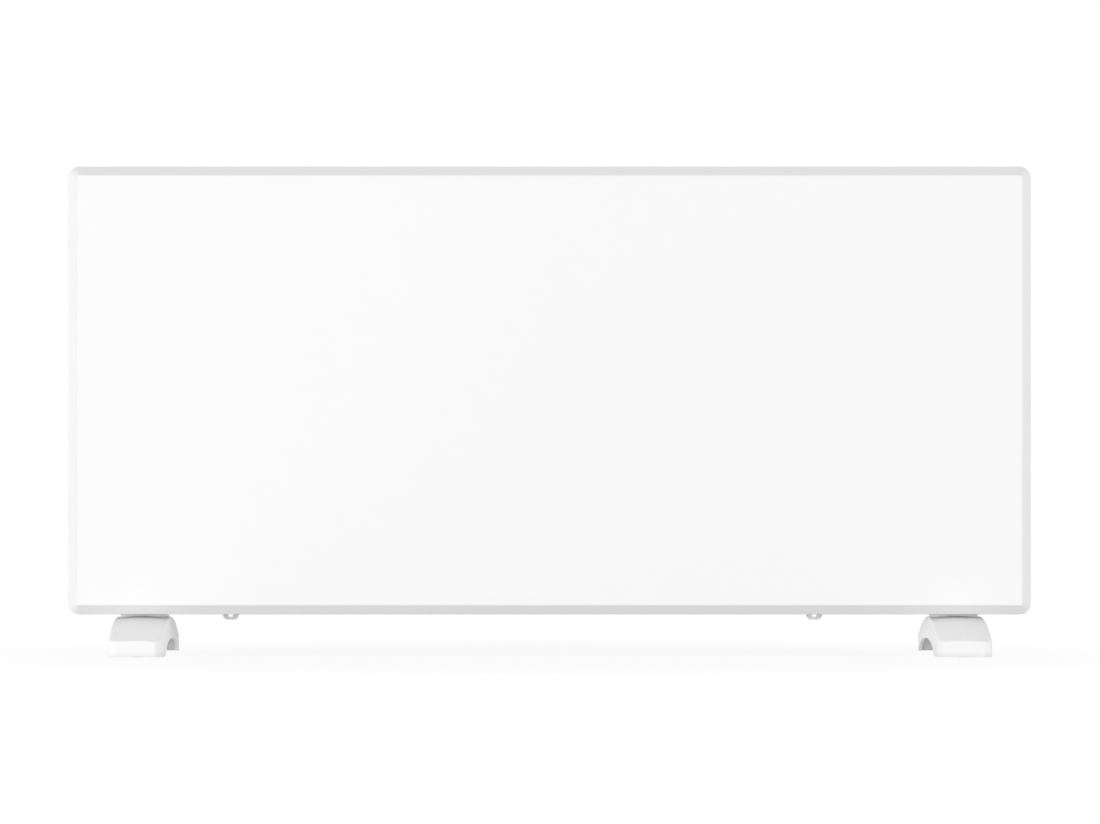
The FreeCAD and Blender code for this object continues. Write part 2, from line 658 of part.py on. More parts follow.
def heat_fins(z):
    """A finned tube: four slit fins in the form of an X round the bore for the rod."""
    x0 = BRACKET_RIGHT + FIN_END_GAP
    x1 = WALL_LEFT - FIN_END_GAP
    half = FIN_THICKNESS / 2
    pitch = (x1 - x0) / FIN_SLITS
    body = rod_x(FIN_TUBE_RADIUS, x0, x1, MIDDLE, z)
    centre = Vector(0, MIDDLE, z)
    fins = []
    slits = []
    for turn in range(4):
        angle = 45 + 90 * turn
        fin = block(x0, x1, MIDDLE - half, MIDDLE + half, z, z + FIN_REACH)
        fin.rotate(centre, X_AXIS, angle)
        fins.append(fin)
        low = z + FIN_TUBE_RADIUS + FIN_EDGE
        high = z + FIN_REACH - FIN_EDGE
        for i in range(FIN_SLITS):
            x = x0 + (i + 0.5) * pitch - FIN_SLIT_WIDTH / 2
            slit = block(x, x + FIN_SLIT_WIDTH, MIDDLE - FIN_THICKNESS, MIDDLE + FIN_THICKNESS, low, high)
            slit.rotate(centre, X_AXIS, angle)
            slits.append(slit)
    bore = rod_x(ROD_RADIUS + SCREW_GAP, x0, x1, MIDDLE, z)
    return body.fuse(fins).cut([bore] + slits)


def heater_rod(z):
    """The sheathed rod through the fins, with two connection pins at the right end."""
    x1 = WALL_RIGHT + ROD_END
    rod = rod_x(ROD_RADIUS, BRACKET_LEFT - ROD_END, x1, MIDDLE, z)
    pins = [rod_x(PIN_RADIUS, x1, x1 + PIN_LENGTH, y, z) for y in pin_places()]
    return rod.fuse(pins)


def pin_places():
    """The depths of the two pins of a rod."""
    return (MIDDLE - PIN_PITCH / 2, MIDDLE + PIN_PITCH / 2)


def bush_holes(x0, x1):
    """Cutters for the bushes of both elements."""
    return [rod_x(BUSH_RADIUS + SLIP_GAP, x0, x1, MIDDLE, z) for z in element_heights()]


def element_bush(z, face, along):
    """A ceramic bush: its flange lies on a plate's face, its tail runs through the plate."""
    point = Vector(face, MIDDLE, z)
    flange = Part.makeCylinder(BUSH_FLANGE_RADIUS, BUSH_FLANGE, point - along * BUSH_FLANGE, along)
    tail = Part.makeCylinder(BUSH_RADIUS, SHEET + BUSH_TAIL, point, along)
    reach = BUSH_FLANGE + SHEET + BUSH_TAIL
    bore = Part.makeCylinder(ROD_RADIUS + SCREW_GAP, reach, point - along * BUSH_FLANGE, along)
    return flange.fuse(tail).cut(bore)


def element_bushes():
    """The four bushes at the ends of the rods."""
    bushes = []
    for z in element_heights():
        bushes.append(element_bush(z, BRACKET_RIGHT, -X_AXIS))
        bushes.append(element_bush(z, WALL_LEFT, X_AXIS))
    return Part.makeCompound(bushes)


def element_bracket():
    """The plate at the left end of the elements, with a foot on the back wall."""
    low = ELEMENT_LOW - BRACKET_WIDTH / 2
    high = ELEMENT_HIGH + BRACKET_WIDTH / 2
    plate = block(BRACKET_LEFT, BRACKET_RIGHT, MIDDLE - BRACKET_WIDTH / 2, INSIDE_BACK, low, high)
    foot = block(BRACKET_LEFT - FOOT_FLANGE, BRACKET_LEFT, INSIDE_BACK - SHEET, INSIDE_BACK, low, high)
    return plate.fuse(foot).cut(bush_holes(BRACKET_LEFT, BRACKET_RIGHT)).removeSplitter()


def compartment_wall():
    """The wall between the hot compartment and the bay with the controls."""
    low = INSIDE_BOTTOM + SLIP_GAP
    high = INSIDE_TOP - SLIP_GAP
    flat = INSIDE_BACK
    plate = block(WALL_LEFT, WALL_RIGHT, CASING_FRONT, flat, low + CASING_BEND, high - CASING_BEND)
    front = block(WALL_LEFT, WALL_RIGHT, CASING_FRONT, flat - CASING_BEND, low, high)
    foot_low = low + CASING_BEND
    foot_high = high - CASING_BEND
    foot = block(WALL_RIGHT, WALL_RIGHT + FOOT_FLANGE, flat - SHEET, flat, foot_low, foot_high)
    holes = bush_holes(WALL_LEFT, WALL_RIGHT)
    holes.append(rod_x(CUTOUT_RADIUS + SLIP_GAP, WALL_LEFT, WALL_RIGHT, MIDDLE, CUTOUT_Z))
    earth_z = CASING_BOTTOM + EARTH_RISE
    holes.append(rod_x(SCREW_RADIUS + SCREW_GAP, WALL_LEFT, WALL_RIGHT, EARTH_Y, earth_z))
    nut_top = INSIDE_BOTTOM + FOOT_NUT_HEIGHT + SLIP_GAP
    for x, y in foot_screw_places():
        holes.append(rod_z(FOOT_NUT_RADIUS + SLIP_GAP, INSIDE_BOTTOM, nut_top, x, y))
    return plate.fuse([front, foot]).cut(holes).removeSplitter()


def overheat_cutout():
    """The bimetal cut-out in the compartment wall, with its flange and two terminals."""
    half = CUTOUT_EAR / 2
    disc = rod_x(CUTOUT_RADIUS, WALL_RIGHT - CUTOUT_DEPTH, WALL_RIGHT + CUTOUT_DEPTH, MIDDLE, CUTOUT_Z)
    flange_end = WALL_RIGHT + SHEET
    y0 = MIDDLE - CUTOUT_RADIUS
    y1 = MIDDLE + CUTOUT_RADIUS
    flange = block(WALL_RIGHT, flange_end, y0, y1, CUTOUT_Z - half, CUTOUT_Z + half)
    front = tab_along_y(TAB_X, y0 - TAB_LENGTH, MIDDLE, CUTOUT_Z)
    rear = tab_along_y(TAB_X, MIDDLE, y1 + TAB_LENGTH, CUTOUT_Z)
    return disc.fuse([flange, front, rear])


def tip_tab_heights():
    """The heights of the two terminals of the tip-over switch."""
    return (TIP_Z - TIP_HEIGHT / 4, TIP_Z + TIP_HEIGHT / 4)


def tip_over_switch():
    """The sealed tip-over switch on the compartment wall."""
    y0 = MIDDLE - TIP_WIDTH / 2
    y1 = MIDDLE + TIP_WIDTH / 2
    z0 = TIP_Z - TIP_HEIGHT / 2
    case = rounded_block(WALL_RIGHT, WALL_RIGHT + TIP_DEPTH, y0, y1, z0, z0 + TIP_HEIGHT, SHEET, X_AXIS)
    tabs = [tab_along_y(TAB_X, y1 - SHEET, y1 + TAB_THICKNESS, z) for z in tip_tab_heights()]
    return case.fuse(tabs)


# Control panel, thermostat and switches


def switch_heights():
    """The heights of the two switches."""
    return (SWITCH_HIGH, SWITCH_LOW)


def control_panel():
    """The moulded plate on the right end with its rim and two snap hooks."""
    half = CONTROL_WIDTH / 2
    low = CONTROL_TOP - CONTROL_HEIGHT
    y0 = MIDDLE - half
    y1 = MIDDLE + half
    plate = rounded_block(CASING_RIGHT, CONTROL_FACE, y0, y1, low, CONTROL_TOP, CONTROL_CORNER, X_AXIS)
    plate = plate.makeFillet(CONTROL_THICKNESS / 2, edges_at(plate, X_AXIS, CONTROL_FACE))
    rim_back = CASING_RIGHT - CONTROL_RIM
    rim = control_opening(SLIP_GAP, rim_back, CASING_RIGHT)
    rim = rim.cut(control_opening(SLIP_GAP + CONTROL_RIM_WALL, rim_back, CASING_RIGHT))
    box = rim.BoundBox
    hook_x = INSIDE_RIGHT - SLIP_GAP
    reach = HOOK_HEIGHT + SLIP_GAP
    y0 = MIDDLE - HOOK_LENGTH / 2
    y1 = MIDDLE + HOOK_LENGTH / 2
    hooks = [
        block(hook_x - HOOK_DEPTH, hook_x, y0, y1, box.ZMin - reach, box.ZMin + CONTROL_RIM_WALL),
        block(hook_x - HOOK_DEPTH, hook_x, y0, y1, box.ZMax - CONTROL_RIM_WALL, box.ZMax + reach),
    ]
    holes = [rod_x(BUSHING_RADIUS + SLIP_GAP, CASING_RIGHT, CONTROL_FACE, MIDDLE, KNOB_Z)]
    holes.append(rod_x(LAMP_RADIUS + SLIP_GAP, CASING_RIGHT, CONTROL_FACE, MIDDLE, CONTROL_TOP - LAMP_DROP))
    for z in switch_heights():
        body = (SWITCH_BODY_WIDTH, SWITCH_BODY_HEIGHT)
        holes.append(switch_box(*body, SLIP_GAP, CASING_RIGHT, CONTROL_FACE, z))
    return plate.fuse([rim] + hooks).cut(holes)


def thermostat_body():
    """The thermostat: a bridge plate behind the panel, a case, a bushing and terminals."""
    case_right = CASING_RIGHT - SHEET
    half_y = THERMOSTAT_WIDTH / 2
    half_z = THERMOSTAT_HEIGHT / 2
    y0 = MIDDLE - half_y
    y1 = MIDDLE + half_y
    case_left = case_right - THERMOSTAT_DEPTH
    case = rounded_block(case_left, case_right, y0, y1, KNOB_Z - half_z, KNOB_Z + half_z, SHEET, X_AXIS)
    bridge_z = half_z + SHEET
    bridge = block(case_right, CASING_RIGHT, y0 - SHEET, y1 + SHEET, KNOB_Z - bridge_z, KNOB_Z + bridge_z)
    end = CONTROL_FACE + NUT_HEIGHT + BUSHING_PAST_NUT
    bushing = rod_x(BUSHING_RADIUS, CASING_RIGHT, end, MIDDLE, KNOB_Z)
    bore = rod_x(SHAFT_RADIUS + RUN_GAP, case_right - THERMOSTAT_DEPTH / 2, end, MIDDLE, KNOB_Z)
    front = tab_along_y(SWITCH_TAB_X, y0 - TAB_THICKNESS, y0 + SHEET, KNOB_Z)
    rear = tab_along_y(SWITCH_TAB_X, y1 - SHEET, y1 + TAB_THICKNESS, KNOB_Z)
    return case.fuse([bridge, bushing, front, rear]).cut(bore)


def thermostat_nut():
    """The hexagon nut that holds the thermostat in the panel."""
    points = []
    for i in range(6):
        angle = math.radians(60 * i)
        y = MIDDLE + NUT_RADIUS * math.cos(angle)
        points.append(Vector(CONTROL_FACE, y, KNOB_Z + NUT_RADIUS * math.sin(angle)))
    hole = rod_x(BUSHING_RADIUS + SCREW_GAP, CONTROL_FACE, CONTROL_FACE + NUT_HEIGHT, MIDDLE, KNOB_Z)
    return prism(points, X_AXIS * NUT_HEIGHT).cut(hole)


def knob_face():
    """The outer face of the knob."""
    return CONTROL_FACE + KNOB_LIFT + KNOB_HEIGHT


def thermostat_shaft():
    """The shaft that carries the knob."""
    start = CASING_RIGHT - SHEET - THERMOSTAT_DEPTH / 2 + SLIP_GAP
    return rod_x(SHAFT_RADIUS, start, knob_face() - KNOB_CAP - SLIP_GAP, MIDDLE, KNOB_Z)


def thermostat_knob():
    """The knob: a skirt, a fluted grip and a hub on the shaft, hollow over the nut."""
    base = CONTROL_FACE + KNOB_LIFT
    face = knob_face()
    skirt = rod_x(KNOB_RADIUS, base, base + KNOB_SKIRT, MIDDLE, KNOB_Z)
    skirt = skirt.makeFillet(KNOB_SKIRT / 3, edges_at(skirt, X_AXIS, base + KNOB_SKIRT))
    grip = rod_x(KNOB_GRIP_RADIUS, base, face, MIDDLE, KNOB_Z)
    grip = grip.makeFillet(KNOB_CAP / 2, edges_at(grip, X_AXIS, face))
    flutes = []
    for i in range(FLUTE_COUNT):
        angle = 2 * math.pi * i / FLUTE_COUNT
        reach = KNOB_GRIP_RADIUS + FLUTE_RADIUS / 2
        y = MIDDLE + reach * math.cos(angle)
        flutes.append(rod_x(FLUTE_RADIUS, base + KNOB_SKIRT, face, y, KNOB_Z + reach * math.sin(angle)))
    hollow = rod_x(KNOB_HOLLOW_RADIUS, base, face - KNOB_CAP, MIDDLE, KNOB_Z)
    hub_start = CONTROL_FACE + NUT_HEIGHT + BUSHING_PAST_NUT + SLIP_GAP
    hub = rod_x(KNOB_HUB_RADIUS, hub_start, face - KNOB_CAP, MIDDLE, KNOB_Z)
    bore = rod_x(SHAFT_RADIUS + RUN_GAP, hub_start, face - KNOB_CAP, MIDDLE, KNOB_Z)
    half = POINTER_WIDTH / 2
    rim = MIDDLE + KNOB_GRIP_RADIUS
    pointer = block(face - POINTER_DEPTH, face, MIDDLE, rim, KNOB_Z - half, KNOB_Z + half)
    pointer.rotate(Vector(face, MIDDLE, KNOB_Z), X_AXIS, POINTER_START)
    return skirt.fuse(grip.cut(flutes)).cut(hollow).fuse(hub).cut([bore, pointer])


def pilot_lamp():
    """The lamp: a flanged lens with a domed end and a round body."""
    z = CONTROL_TOP - LAMP_DROP
    flange_end = CONTROL_FACE + LAMP_FLANGE
    lens_end = flange_end + LAMP_RADIUS / 2
    body = rod_x(LAMP_RADIUS, flange_end - LAMP_DEPTH, lens_end, MIDDLE, z)
    body = body.makeFillet(LAMP_RADIUS / 2 - LAMP_FLANGE / 2, edges_at(body, X_AXIS, lens_end))
    return body.fuse(rod_x(LAMP_FLANGE_RADIUS, CONTROL_FACE, flange_end, MIDDLE, z))


def switch_box(width, height, grow, x0, x1, z):
    """A box round the middle of a switch."""
    half_y = width / 2 + grow
    half_z = height / 2 + grow
    return block(x0, x1, MIDDLE - half_y, MIDDLE + half_y, z - half_z, z + half_z)


def rocker_half_length():
    """Half the length of a rocker whose lowered end still clears the housing."""
    tilt = math.radians(ROCKER_TILT)
    room = SWITCH_BODY_HEIGHT / 2 - SWITCH_WALL - SLIP_GAP
    return (room - ROCKER_RISE * math.sin(tilt)) / (math.cos(tilt) + math.tan(tilt) * math.sin(tilt))


def rocker_half_width():
    """Half the width of a rocker between the walls of its housing."""
    return SWITCH_BODY_WIDTH / 2 - SWITCH_WALL - SLIP_GAP


def switch_housing(z):
    """A switch housing: bezel, body with a well for the rocker, pivot holes and terminals."""
    bezel_face = CONTROL_FACE + SWITCH_BEZEL
    body_back = CONTROL_FACE - SWITCH_BODY_DEPTH
    bezel = switch_box(SWITCH_BEZEL_WIDTH, SWITCH_BEZEL_HEIGHT, 0, CONTROL_FACE, bezel_face, z)
    bezel = bezel.makeFillet(SWITCH_WALL, edges_along(bezel, X_AXIS))
    bezel = bezel.makeChamfer(SWITCH_WALL / 2, edges_at(bezel, X_AXIS, bezel_face))
    body = switch_box(SWITCH_BODY_WIDTH, SWITCH_BODY_HEIGHT, 0, body_back, CONTROL_FACE, z)
    well_depth = ROCKER_SINK + ROCKER_DEPTH + rocker_half_length() * math.sin(math.radians(ROCKER_TILT))
    well_back = CONTROL_FACE - well_depth - SLIP_GAP
    well = switch_box(SWITCH_BODY_WIDTH, SWITCH_BODY_HEIGHT, -SWITCH_WALL, well_back, bezel_face, z)
    pin_reach = rocker_half_width() + ROCKER_PIN_LENGTH + RUN_GAP
    pivot = rod_y(ROCKER_PIN_RADIUS + RUN_GAP, MIDDLE - pin_reach, MIDDLE + pin_reach, ROCKER_AXIS, z)
    half = SWITCH_BODY_WIDTH / 2
    front = tab_along_y(SWITCH_TAB_X, MIDDLE - half - TAB_LENGTH, MIDDLE, z)
    rear = tab_along_y(SWITCH_TAB_X, MIDDLE, MIDDLE + half + TAB_LENGTH, z)
    carrier = switch_box(SWITCH_BODY_WIDTH / 2, TAB_WIDTH, 0, SWITCH_TAB_X, body_back, z)
    return bezel.fuse([body, carrier, front, rear]).cut([well, pivot])


def heat_rocker(z):
    """A rocker with a shallow V top and two pivot pins, tilted to its off position."""
    half = rocker_half_length()
    width = rocker_half_width()
    rise = ROCKER_RISE + half * math.tan(math.radians(ROCKER_TILT))
    start = MIDDLE - width
    outline = [(half, rise), (0, ROCKER_RISE), (-half, rise)]
    outline += [(-half, -ROCKER_DEPTH / 3), (-half / 2, -ROCKER_DEPTH)]
    outline += [(half / 2, -ROCKER_DEPTH), (half, -ROCKER_DEPTH / 3)]
    points = [Vector(ROCKER_AXIS + x, start, z + along) for along, x in outline]
    rocker = prism(points, Y_AXIS * (2 * width))
    reach = width + ROCKER_PIN_LENGTH
    rocker = rocker.fuse(rod_y(ROCKER_PIN_RADIUS, MIDDLE - reach, MIDDLE + reach, ROCKER_AXIS, z))
    rocker.rotate(Vector(ROCKER_AXIS, MIDDLE, z), Y_AXIS, ROCKER_TILT)
    return rocker


# Supply


def pole_heights():
    """The heights of the poles of the terminal block: earth, neutral, live."""
    reach = BLOCK_POLE_PITCH * (BLOCK_POLES - 1) / 2
    return spread(BLOCK_MIDDLE - reach, BLOCK_MIDDLE + reach, BLOCK_POLES)


def terminal_block():
    """The terminal block on the compartment wall: three poles with notches between them."""
    half = BLOCK_POLE_PITCH * BLOCK_POLES / 2
    y0 = MIDDLE - BLOCK_WIDTH / 2
    y1 = MIDDLE + BLOCK_WIDTH / 2
    right = WALL_RIGHT + BLOCK_DEPTH
    body = block(WALL_RIGHT, right, y0, y1, BLOCK_MIDDLE - half, BLOCK_MIDDLE + half)
    notches = []
    for low, high in zip(pole_heights(), pole_heights()[1:]):
        z = (low + high) / 2
        notches.append(block(right - BLOCK_DEPTH / 3, right, y0, y1, z - SHEET, z + SHEET))
    return body.cut(notches)


def terminal_screws():
    """Two clamp screws on each pole, their heads on the face of the block."""
    screws = []
    for z in pole_heights():
        for y in (MIDDLE - BLOCK_WIDTH / 4, MIDDLE + BLOCK_WIDTH / 4):
            start = WALL_RIGHT + BLOCK_DEPTH
            screws.append(rod_x(BLOCK_SCREW_RADIUS, start, start + BLOCK_SCREW_HEAD, y, z))
    return Part.makeCompound(screws)


def earth_screw():
    """The earth screw in the compartment wall."""
    seat = Vector(WALL_RIGHT, EARTH_Y, CASING_BOTTOM + EARTH_RISE)
    return screw(seat, -X_AXIS, SCREW_LENGTH / 2, SCREW_RADIUS, SCREW_HEAD_RADIUS, SCREW_HEAD_HEIGHT)


def cord_gland():
    """The gland for the supply cord in the right end: tail, flange and tapered sleeve."""
    z = CASING_BOTTOM + GLAND_RISE
    flange_end = CASING_RIGHT + GLAND_FLANGE
    sleeve_end = flange_end + GLAND_SLEEVE
    start = INSIDE_RIGHT - GLAND_TAIL
    tail = rod_x(GLAND_NECK_RADIUS, start, CASING_RIGHT, MIDDLE, z)
    flange = rod_x(GLAND_FLANGE_RADIUS, CASING_RIGHT, flange_end, MIDDLE, z)
    flange = flange.makeFillet(GLAND_FLANGE / 3, edges_at(flange, X_AXIS, flange_end))
    tip_radius = (GLAND_NECK_RADIUS + GLAND_BORE_RADIUS) / 2
    seat = Vector(flange_end, MIDDLE, z)
    sleeve = Part.makeCone(GLAND_NECK_RADIUS, tip_radius, GLAND_SLEEVE, seat, X_AXIS)
    bore = rod_x(GLAND_BORE_RADIUS, start, sleeve_end, MIDDLE, z)
    return tail.fuse([flange, sleeve]).cut(bore)


def live_wires():
    """The live side: block, tip-over switch, cut-out, thermostat, switches and rods."""
    tip_low, tip_high = tip_tab_heights()
    live = pole_heights()[2]
    block_rear = MIDDLE + BLOCK_WIDTH / 2
    tip_rear = MIDDLE + TIP_WIDTH / 2 + TAB_THICKNESS
    cutout_reach = CUTOUT_RADIUS + TAB_LENGTH
    thermostat_reach = THERMOSTAT_WIDTH / 2 + TAB_THICKNESS
    switch_reach = SWITCH_BODY_WIDTH / 2 + TAB_LENGTH
    pin_end = WALL_RIGHT + ROD_END + PIN_LENGTH
    pin_front = pin_places()[0]
    step_low = SWITCH_HIGH + SWITCH_BEZEL_HEIGHT / 2
    share = TAB_WIDTH / 4
    outer_lane = FRONT_LANE - WIRE_STEP
    routes = [
        [
            Vector(TAB_X, block_rear, live),
            Vector(TAB_X, REAR_LANE, live),
            Vector(TAB_X, REAR_LANE, tip_low),
            Vector(TAB_X, tip_rear, tip_low),
        ],
        [
            Vector(TAB_X, tip_rear, tip_high),
            Vector(TAB_X, REAR_LANE, tip_high),
            Vector(TAB_X, REAR_LANE, CUTOUT_Z),
            Vector(TAB_X, MIDDLE + cutout_reach, CUTOUT_Z),
        ],
        [
            Vector(TAB_X, MIDDLE - cutout_reach, CUTOUT_Z),
            Vector(TAB_X, FRONT_LANE, CUTOUT_Z),
            Vector(TAB_X, FRONT_LANE, step_low),
            Vector(SWITCH_TAB_X, FRONT_LANE, KNOB_Z - THERMOSTAT_HEIGHT / 2),
            Vector(SWITCH_TAB_X, FRONT_LANE, KNOB_Z),
            Vector(SWITCH_TAB_X, MIDDLE - thermostat_reach, KNOB_Z),
        ],
        [
            Vector(SWITCH_TAB_X, MIDDLE + thermostat_reach, KNOB_Z),
            Vector(SWITCH_TAB_X, REAR_LANE, KNOB_Z),
            Vector(SWITCH_TAB_X, REAR_LANE, SWITCH_HIGH + share),
            Vector(SWITCH_TAB_X, MIDDLE + switch_reach, SWITCH_HIGH + share),
        ],
        [
            Vector(SWITCH_TAB_X, MIDDLE + switch_reach, SWITCH_HIGH - share),
            Vector(SWITCH_TAB_X, REAR_LANE, SWITCH_HIGH - share),
            Vector(SWITCH_TAB_X, REAR_LANE, SWITCH_LOW),
            Vector(SWITCH_TAB_X, MIDDLE + switch_reach, SWITCH_LOW),
        ],
        [
            Vector(SWITCH_TAB_X, MIDDLE - switch_reach, SWITCH_HIGH),
            Vector(SWITCH_TAB_X, outer_lane, SWITCH_HIGH),
            Vector(SWITCH_TAB_X, outer_lane, ELEMENT_LOW),
            Vector(SWITCH_TAB_X, pin_front, ELEMENT_LOW),
            Vector(pin_end, pin_front, ELEMENT_LOW),
        ],
        [
            Vector(SWITCH_TAB_X, MIDDLE - switch_reach, SWITCH_LOW),
            Vector(SWITCH_TAB_X, FRONT_LANE, SWITCH_LOW),
            Vector(SWITCH_TAB_X, FRONT_LANE, ELEMENT_HIGH),
            Vector(SWITCH_TAB_X, pin_front, ELEMENT_HIGH),
            Vector(pin_end, pin_front, ELEMENT_HIGH),
        ],
    ]
    return Part.makeCompound([wire(route) for route in routes])


def neutral_wires():
    """The neutral side: two wires from the block, one to each rod."""
    pole = pole_heights()[1]
    pin_end = WALL_RIGHT + ROD_END + PIN_LENGTH
    pin_rear = pin_places()[1]
    block_rear = MIDDLE + BLOCK_WIDTH / 2
    x = SWITCH_TAB_X + 2 * WIRE_STEP
    wires = []
    for z, lane, start in (
        (ELEMENT_LOW, REAR_LANE - WIRE_STEP, pole - WIRE_STEP / 2),
        (ELEMENT_HIGH, REAR_LANE, pole + WIRE_STEP / 2),
    ):
        route = [
            Vector(TAB_X, block_rear, start),
            Vector(TAB_X, lane, start),
            Vector(x, lane, start),
            Vector(x, lane, z),
            Vector(x, pin_rear, z),
            Vector(pin_end, pin_rear, z),
        ]
        wires.append(wire(route))
    return Part.makeCompound(wires)


def earth_wire():
    """The earth wire from the block to the earth screw."""
    earth = pole_heights()[0]
    z = CASING_BOTTOM + EARTH_RISE
    points = [
        Vector(TAB_X, MIDDLE + BLOCK_WIDTH / 2, earth),
        Vector(TAB_X, EARTH_Y, earth),
        Vector(TAB_X, EARTH_Y, z),
        Vector(WALL_RIGHT + SCREW_HEAD_HEIGHT, EARTH_Y, z),
    ]
    return wire(points)


# Feet


def foot_screw_places():
    """Where the foot screws pass the bottom wall, as x and y."""
    middle = (SADDLE_FRONT + SADDLE_BACK) / 2
    reach = FOOT_SCREW_PITCH / 2
    return [(side * FOOT_MIDDLE, middle + step) for side in (-1, 1) for step in (-reach, reach)]


def foot_form(inset, low):
    """The outside of a foot drawn in by inset: rounded in plan, arched and crowned on top."""
    half = FOOT_WIDTH / 2 - inset
    reach = FOOT_DEPTH / 2 - inset
    plan = rounded_block(-half, half, -reach, reach, low, FLOOR_GAP, FOOT_CORNER - inset, Z_AXIS)
    sagitta = CREST - TOE_HEIGHT
    half_depth = FOOT_DEPTH / 2
    arch_radius = (half_depth**2 + sagitta**2) / (2 * sagitta)
    axis_z = CREST - arch_radius
    top = CREST - inset
    edge = top - FOOT_CROWN
    foot = top - 2 * FLOOR_GAP
    side = FOOT_WIDTH / 2
    outline = [
        Part.Arc(Vector(-side, 0, edge), Vector(0, 0, top), Vector(side, 0, edge)).toShape(),
        Part.makeLine(Vector(side, 0, edge), Vector(side, 0, foot)),
        Part.makeLine(Vector(side, 0, foot), Vector(-side, 0, foot)),
        Part.makeLine(Vector(-side, 0, foot), Vector(-side, 0, edge)),
    ]
    section = Part.Face(Part.Wire(outline))
    centre = Vector(0, 0, axis_z)
    swing = 2 * math.degrees(math.asin(half_depth / arch_radius))
    section.rotate(centre, X_AXIS, -swing)
    return plan.common(section.revolve(centre, X_AXIS, 2 * swing))


def foot_top_edges(form):
    """The edges round the crowned top of a foot."""
    top = max(form.Faces, key=lambda face: face.CenterOfMass.z)
    return top.Edges


def foot_arch():
    """The cutter for the opening under a foot."""
    reach = ARCH_SPAN / 2
    start = Vector(-FOOT_WIDTH, ARCH_SETBACK - reach, 0)
    end = Vector(-FOOT_WIDTH, ARCH_SETBACK + reach, 0)
    centre = Vector(-FOOT_WIDTH, ARCH_SETBACK, 0)
    ellipse = Part.Ellipse(end, centre + Z_AXIS * ARCH_HEIGHT, centre)
    curve = Part.ArcOfEllipse(ellipse, 0, math.pi).toShape()
    outline = Part.Wire([curve, Part.makeLine(start, end)])
    return Part.Face(outline).extrude(X_AXIS * (2 * FOOT_WIDTH))


def saddle(inset, low, high):
    """The raised saddle of a foot under the casing, drawn in by inset."""
    half = SADDLE_WIDTH / 2 - inset
    y0 = SADDLE_FRONT + inset
    y1 = SADDLE_BACK - inset
    return rounded_block(-half, half, y0, y1, low, high, SADDLE_CORNER - inset, Z_AXIS)


def pad_depths():
    """The depths of the two floor pads of a foot, one in each toe."""
    return (PAD_INSET - FOOT_DEPTH / 2, FOOT_DEPTH / 2 - REAR_PAD_INSET)


def foot(side):
    """A hollow arched foot with its saddle, screw bosses, pad bosses and ribs."""
    form = foot_form(0, PAD_PROUD)
    form = form.makeFillet(FOOT_EDGE_ROUND, foot_top_edges(form))
    hollow = foot_form(FOOT_WALL, PAD_PROUD).fuse(saddle(FOOT_WALL, TOE_HEIGHT, CASING_BOTTOM - FOOT_WALL))
    whole = form.fuse(saddle(0, TOE_HEIGHT, CASING_BOTTOM))
    shell = whole.cut(hollow).cut(foot_arch())
    half = FOOT_WIDTH / 2 - FOOT_WALL
    rib = FOOT_RIB / 2
    rib_low = CREST - FOOT_BOSS_DROP
    inside = []
    for y in (-FOOT_RIB_REACH, FOOT_RIB_REACH):
        inside.append(block(-half, half, y - rib, y + rib, ARCH_HEIGHT + FOOT_WALL, CREST))
    for y in pad_depths():
        inside.append(rod_z(PAD_BOSS_RADIUS, PAD_HEIGHT, CREST, 0, y))
    screws = [y for x, y in foot_screw_places() if x > 0]
    for y in screws:
        inside.append(rod_z(FOOT_BOSS_RADIUS, rib_low, CASING_BOTTOM, 0, y))
    body = shell.fuse([piece.common(whole) for piece in inside])
    post_top = PAD_HEIGHT + POST_LENGTH + SLIP_GAP
    holes = [rod_z(POST_RADIUS + SCREW_GAP, PAD_HEIGHT, post_top, 0, y) for y in pad_depths()]
    holes += [rod_z(FOOT_SCREW_RADIUS + SCREW_GAP, rib_low, CASING_BOTTOM, 0, y) for y in screws]
    body = body.cut(holes).removeSplitter()
    body.translate(X_AXIS * (side * FOOT_MIDDLE))
    return body


def foot_screws():
    """The screws that hold the feet, from below."""
    seat = CREST - FOOT_BOSS_DROP
    length = INSIDE_BOTTOM + FOOT_NUT_HEIGHT - seat
    head = (FOOT_SCREW_HEAD_RADIUS, FOOT_SCREW_HEAD)
    screws = []
    for x, y in foot_screw_places():
        screws.append(screw(Vector(x, y, seat), Z_AXIS, length, FOOT_SCREW_RADIUS, *head))
    return Part.makeCompound(screws)


def foot_nuts():
    """The clinch nuts for the foot screws inside the casing."""
    nuts = []
    top = INSIDE_BOTTOM + FOOT_NUT_HEIGHT
    for x, y in foot_screw_places():
        nut = rod_z(FOOT_NUT_RADIUS, INSIDE_BOTTOM, top, x, y)
        nuts.append(nut.cut(rod_z(FOOT_SCREW_RADIUS + SCREW_GAP, INSIDE_BOTTOM, top, x, y)))
    return Part.makeCompound(nuts)


def foot_pads():
    """The rubber pads under the feet, each with a post in its boss."""
    pads = []
    for x in (-FOOT_MIDDLE, FOOT_MIDDLE):
        for y in pad_depths():
            pad = rod_z(PAD_RADIUS, 0, PAD_HEIGHT, x, y)
            pads.append(pad.fuse(rod_z(POST_RADIUS, PAD_HEIGHT, PAD_HEIGHT + POST_LENGTH, x, y)))
    return Part.makeCompound(pads)


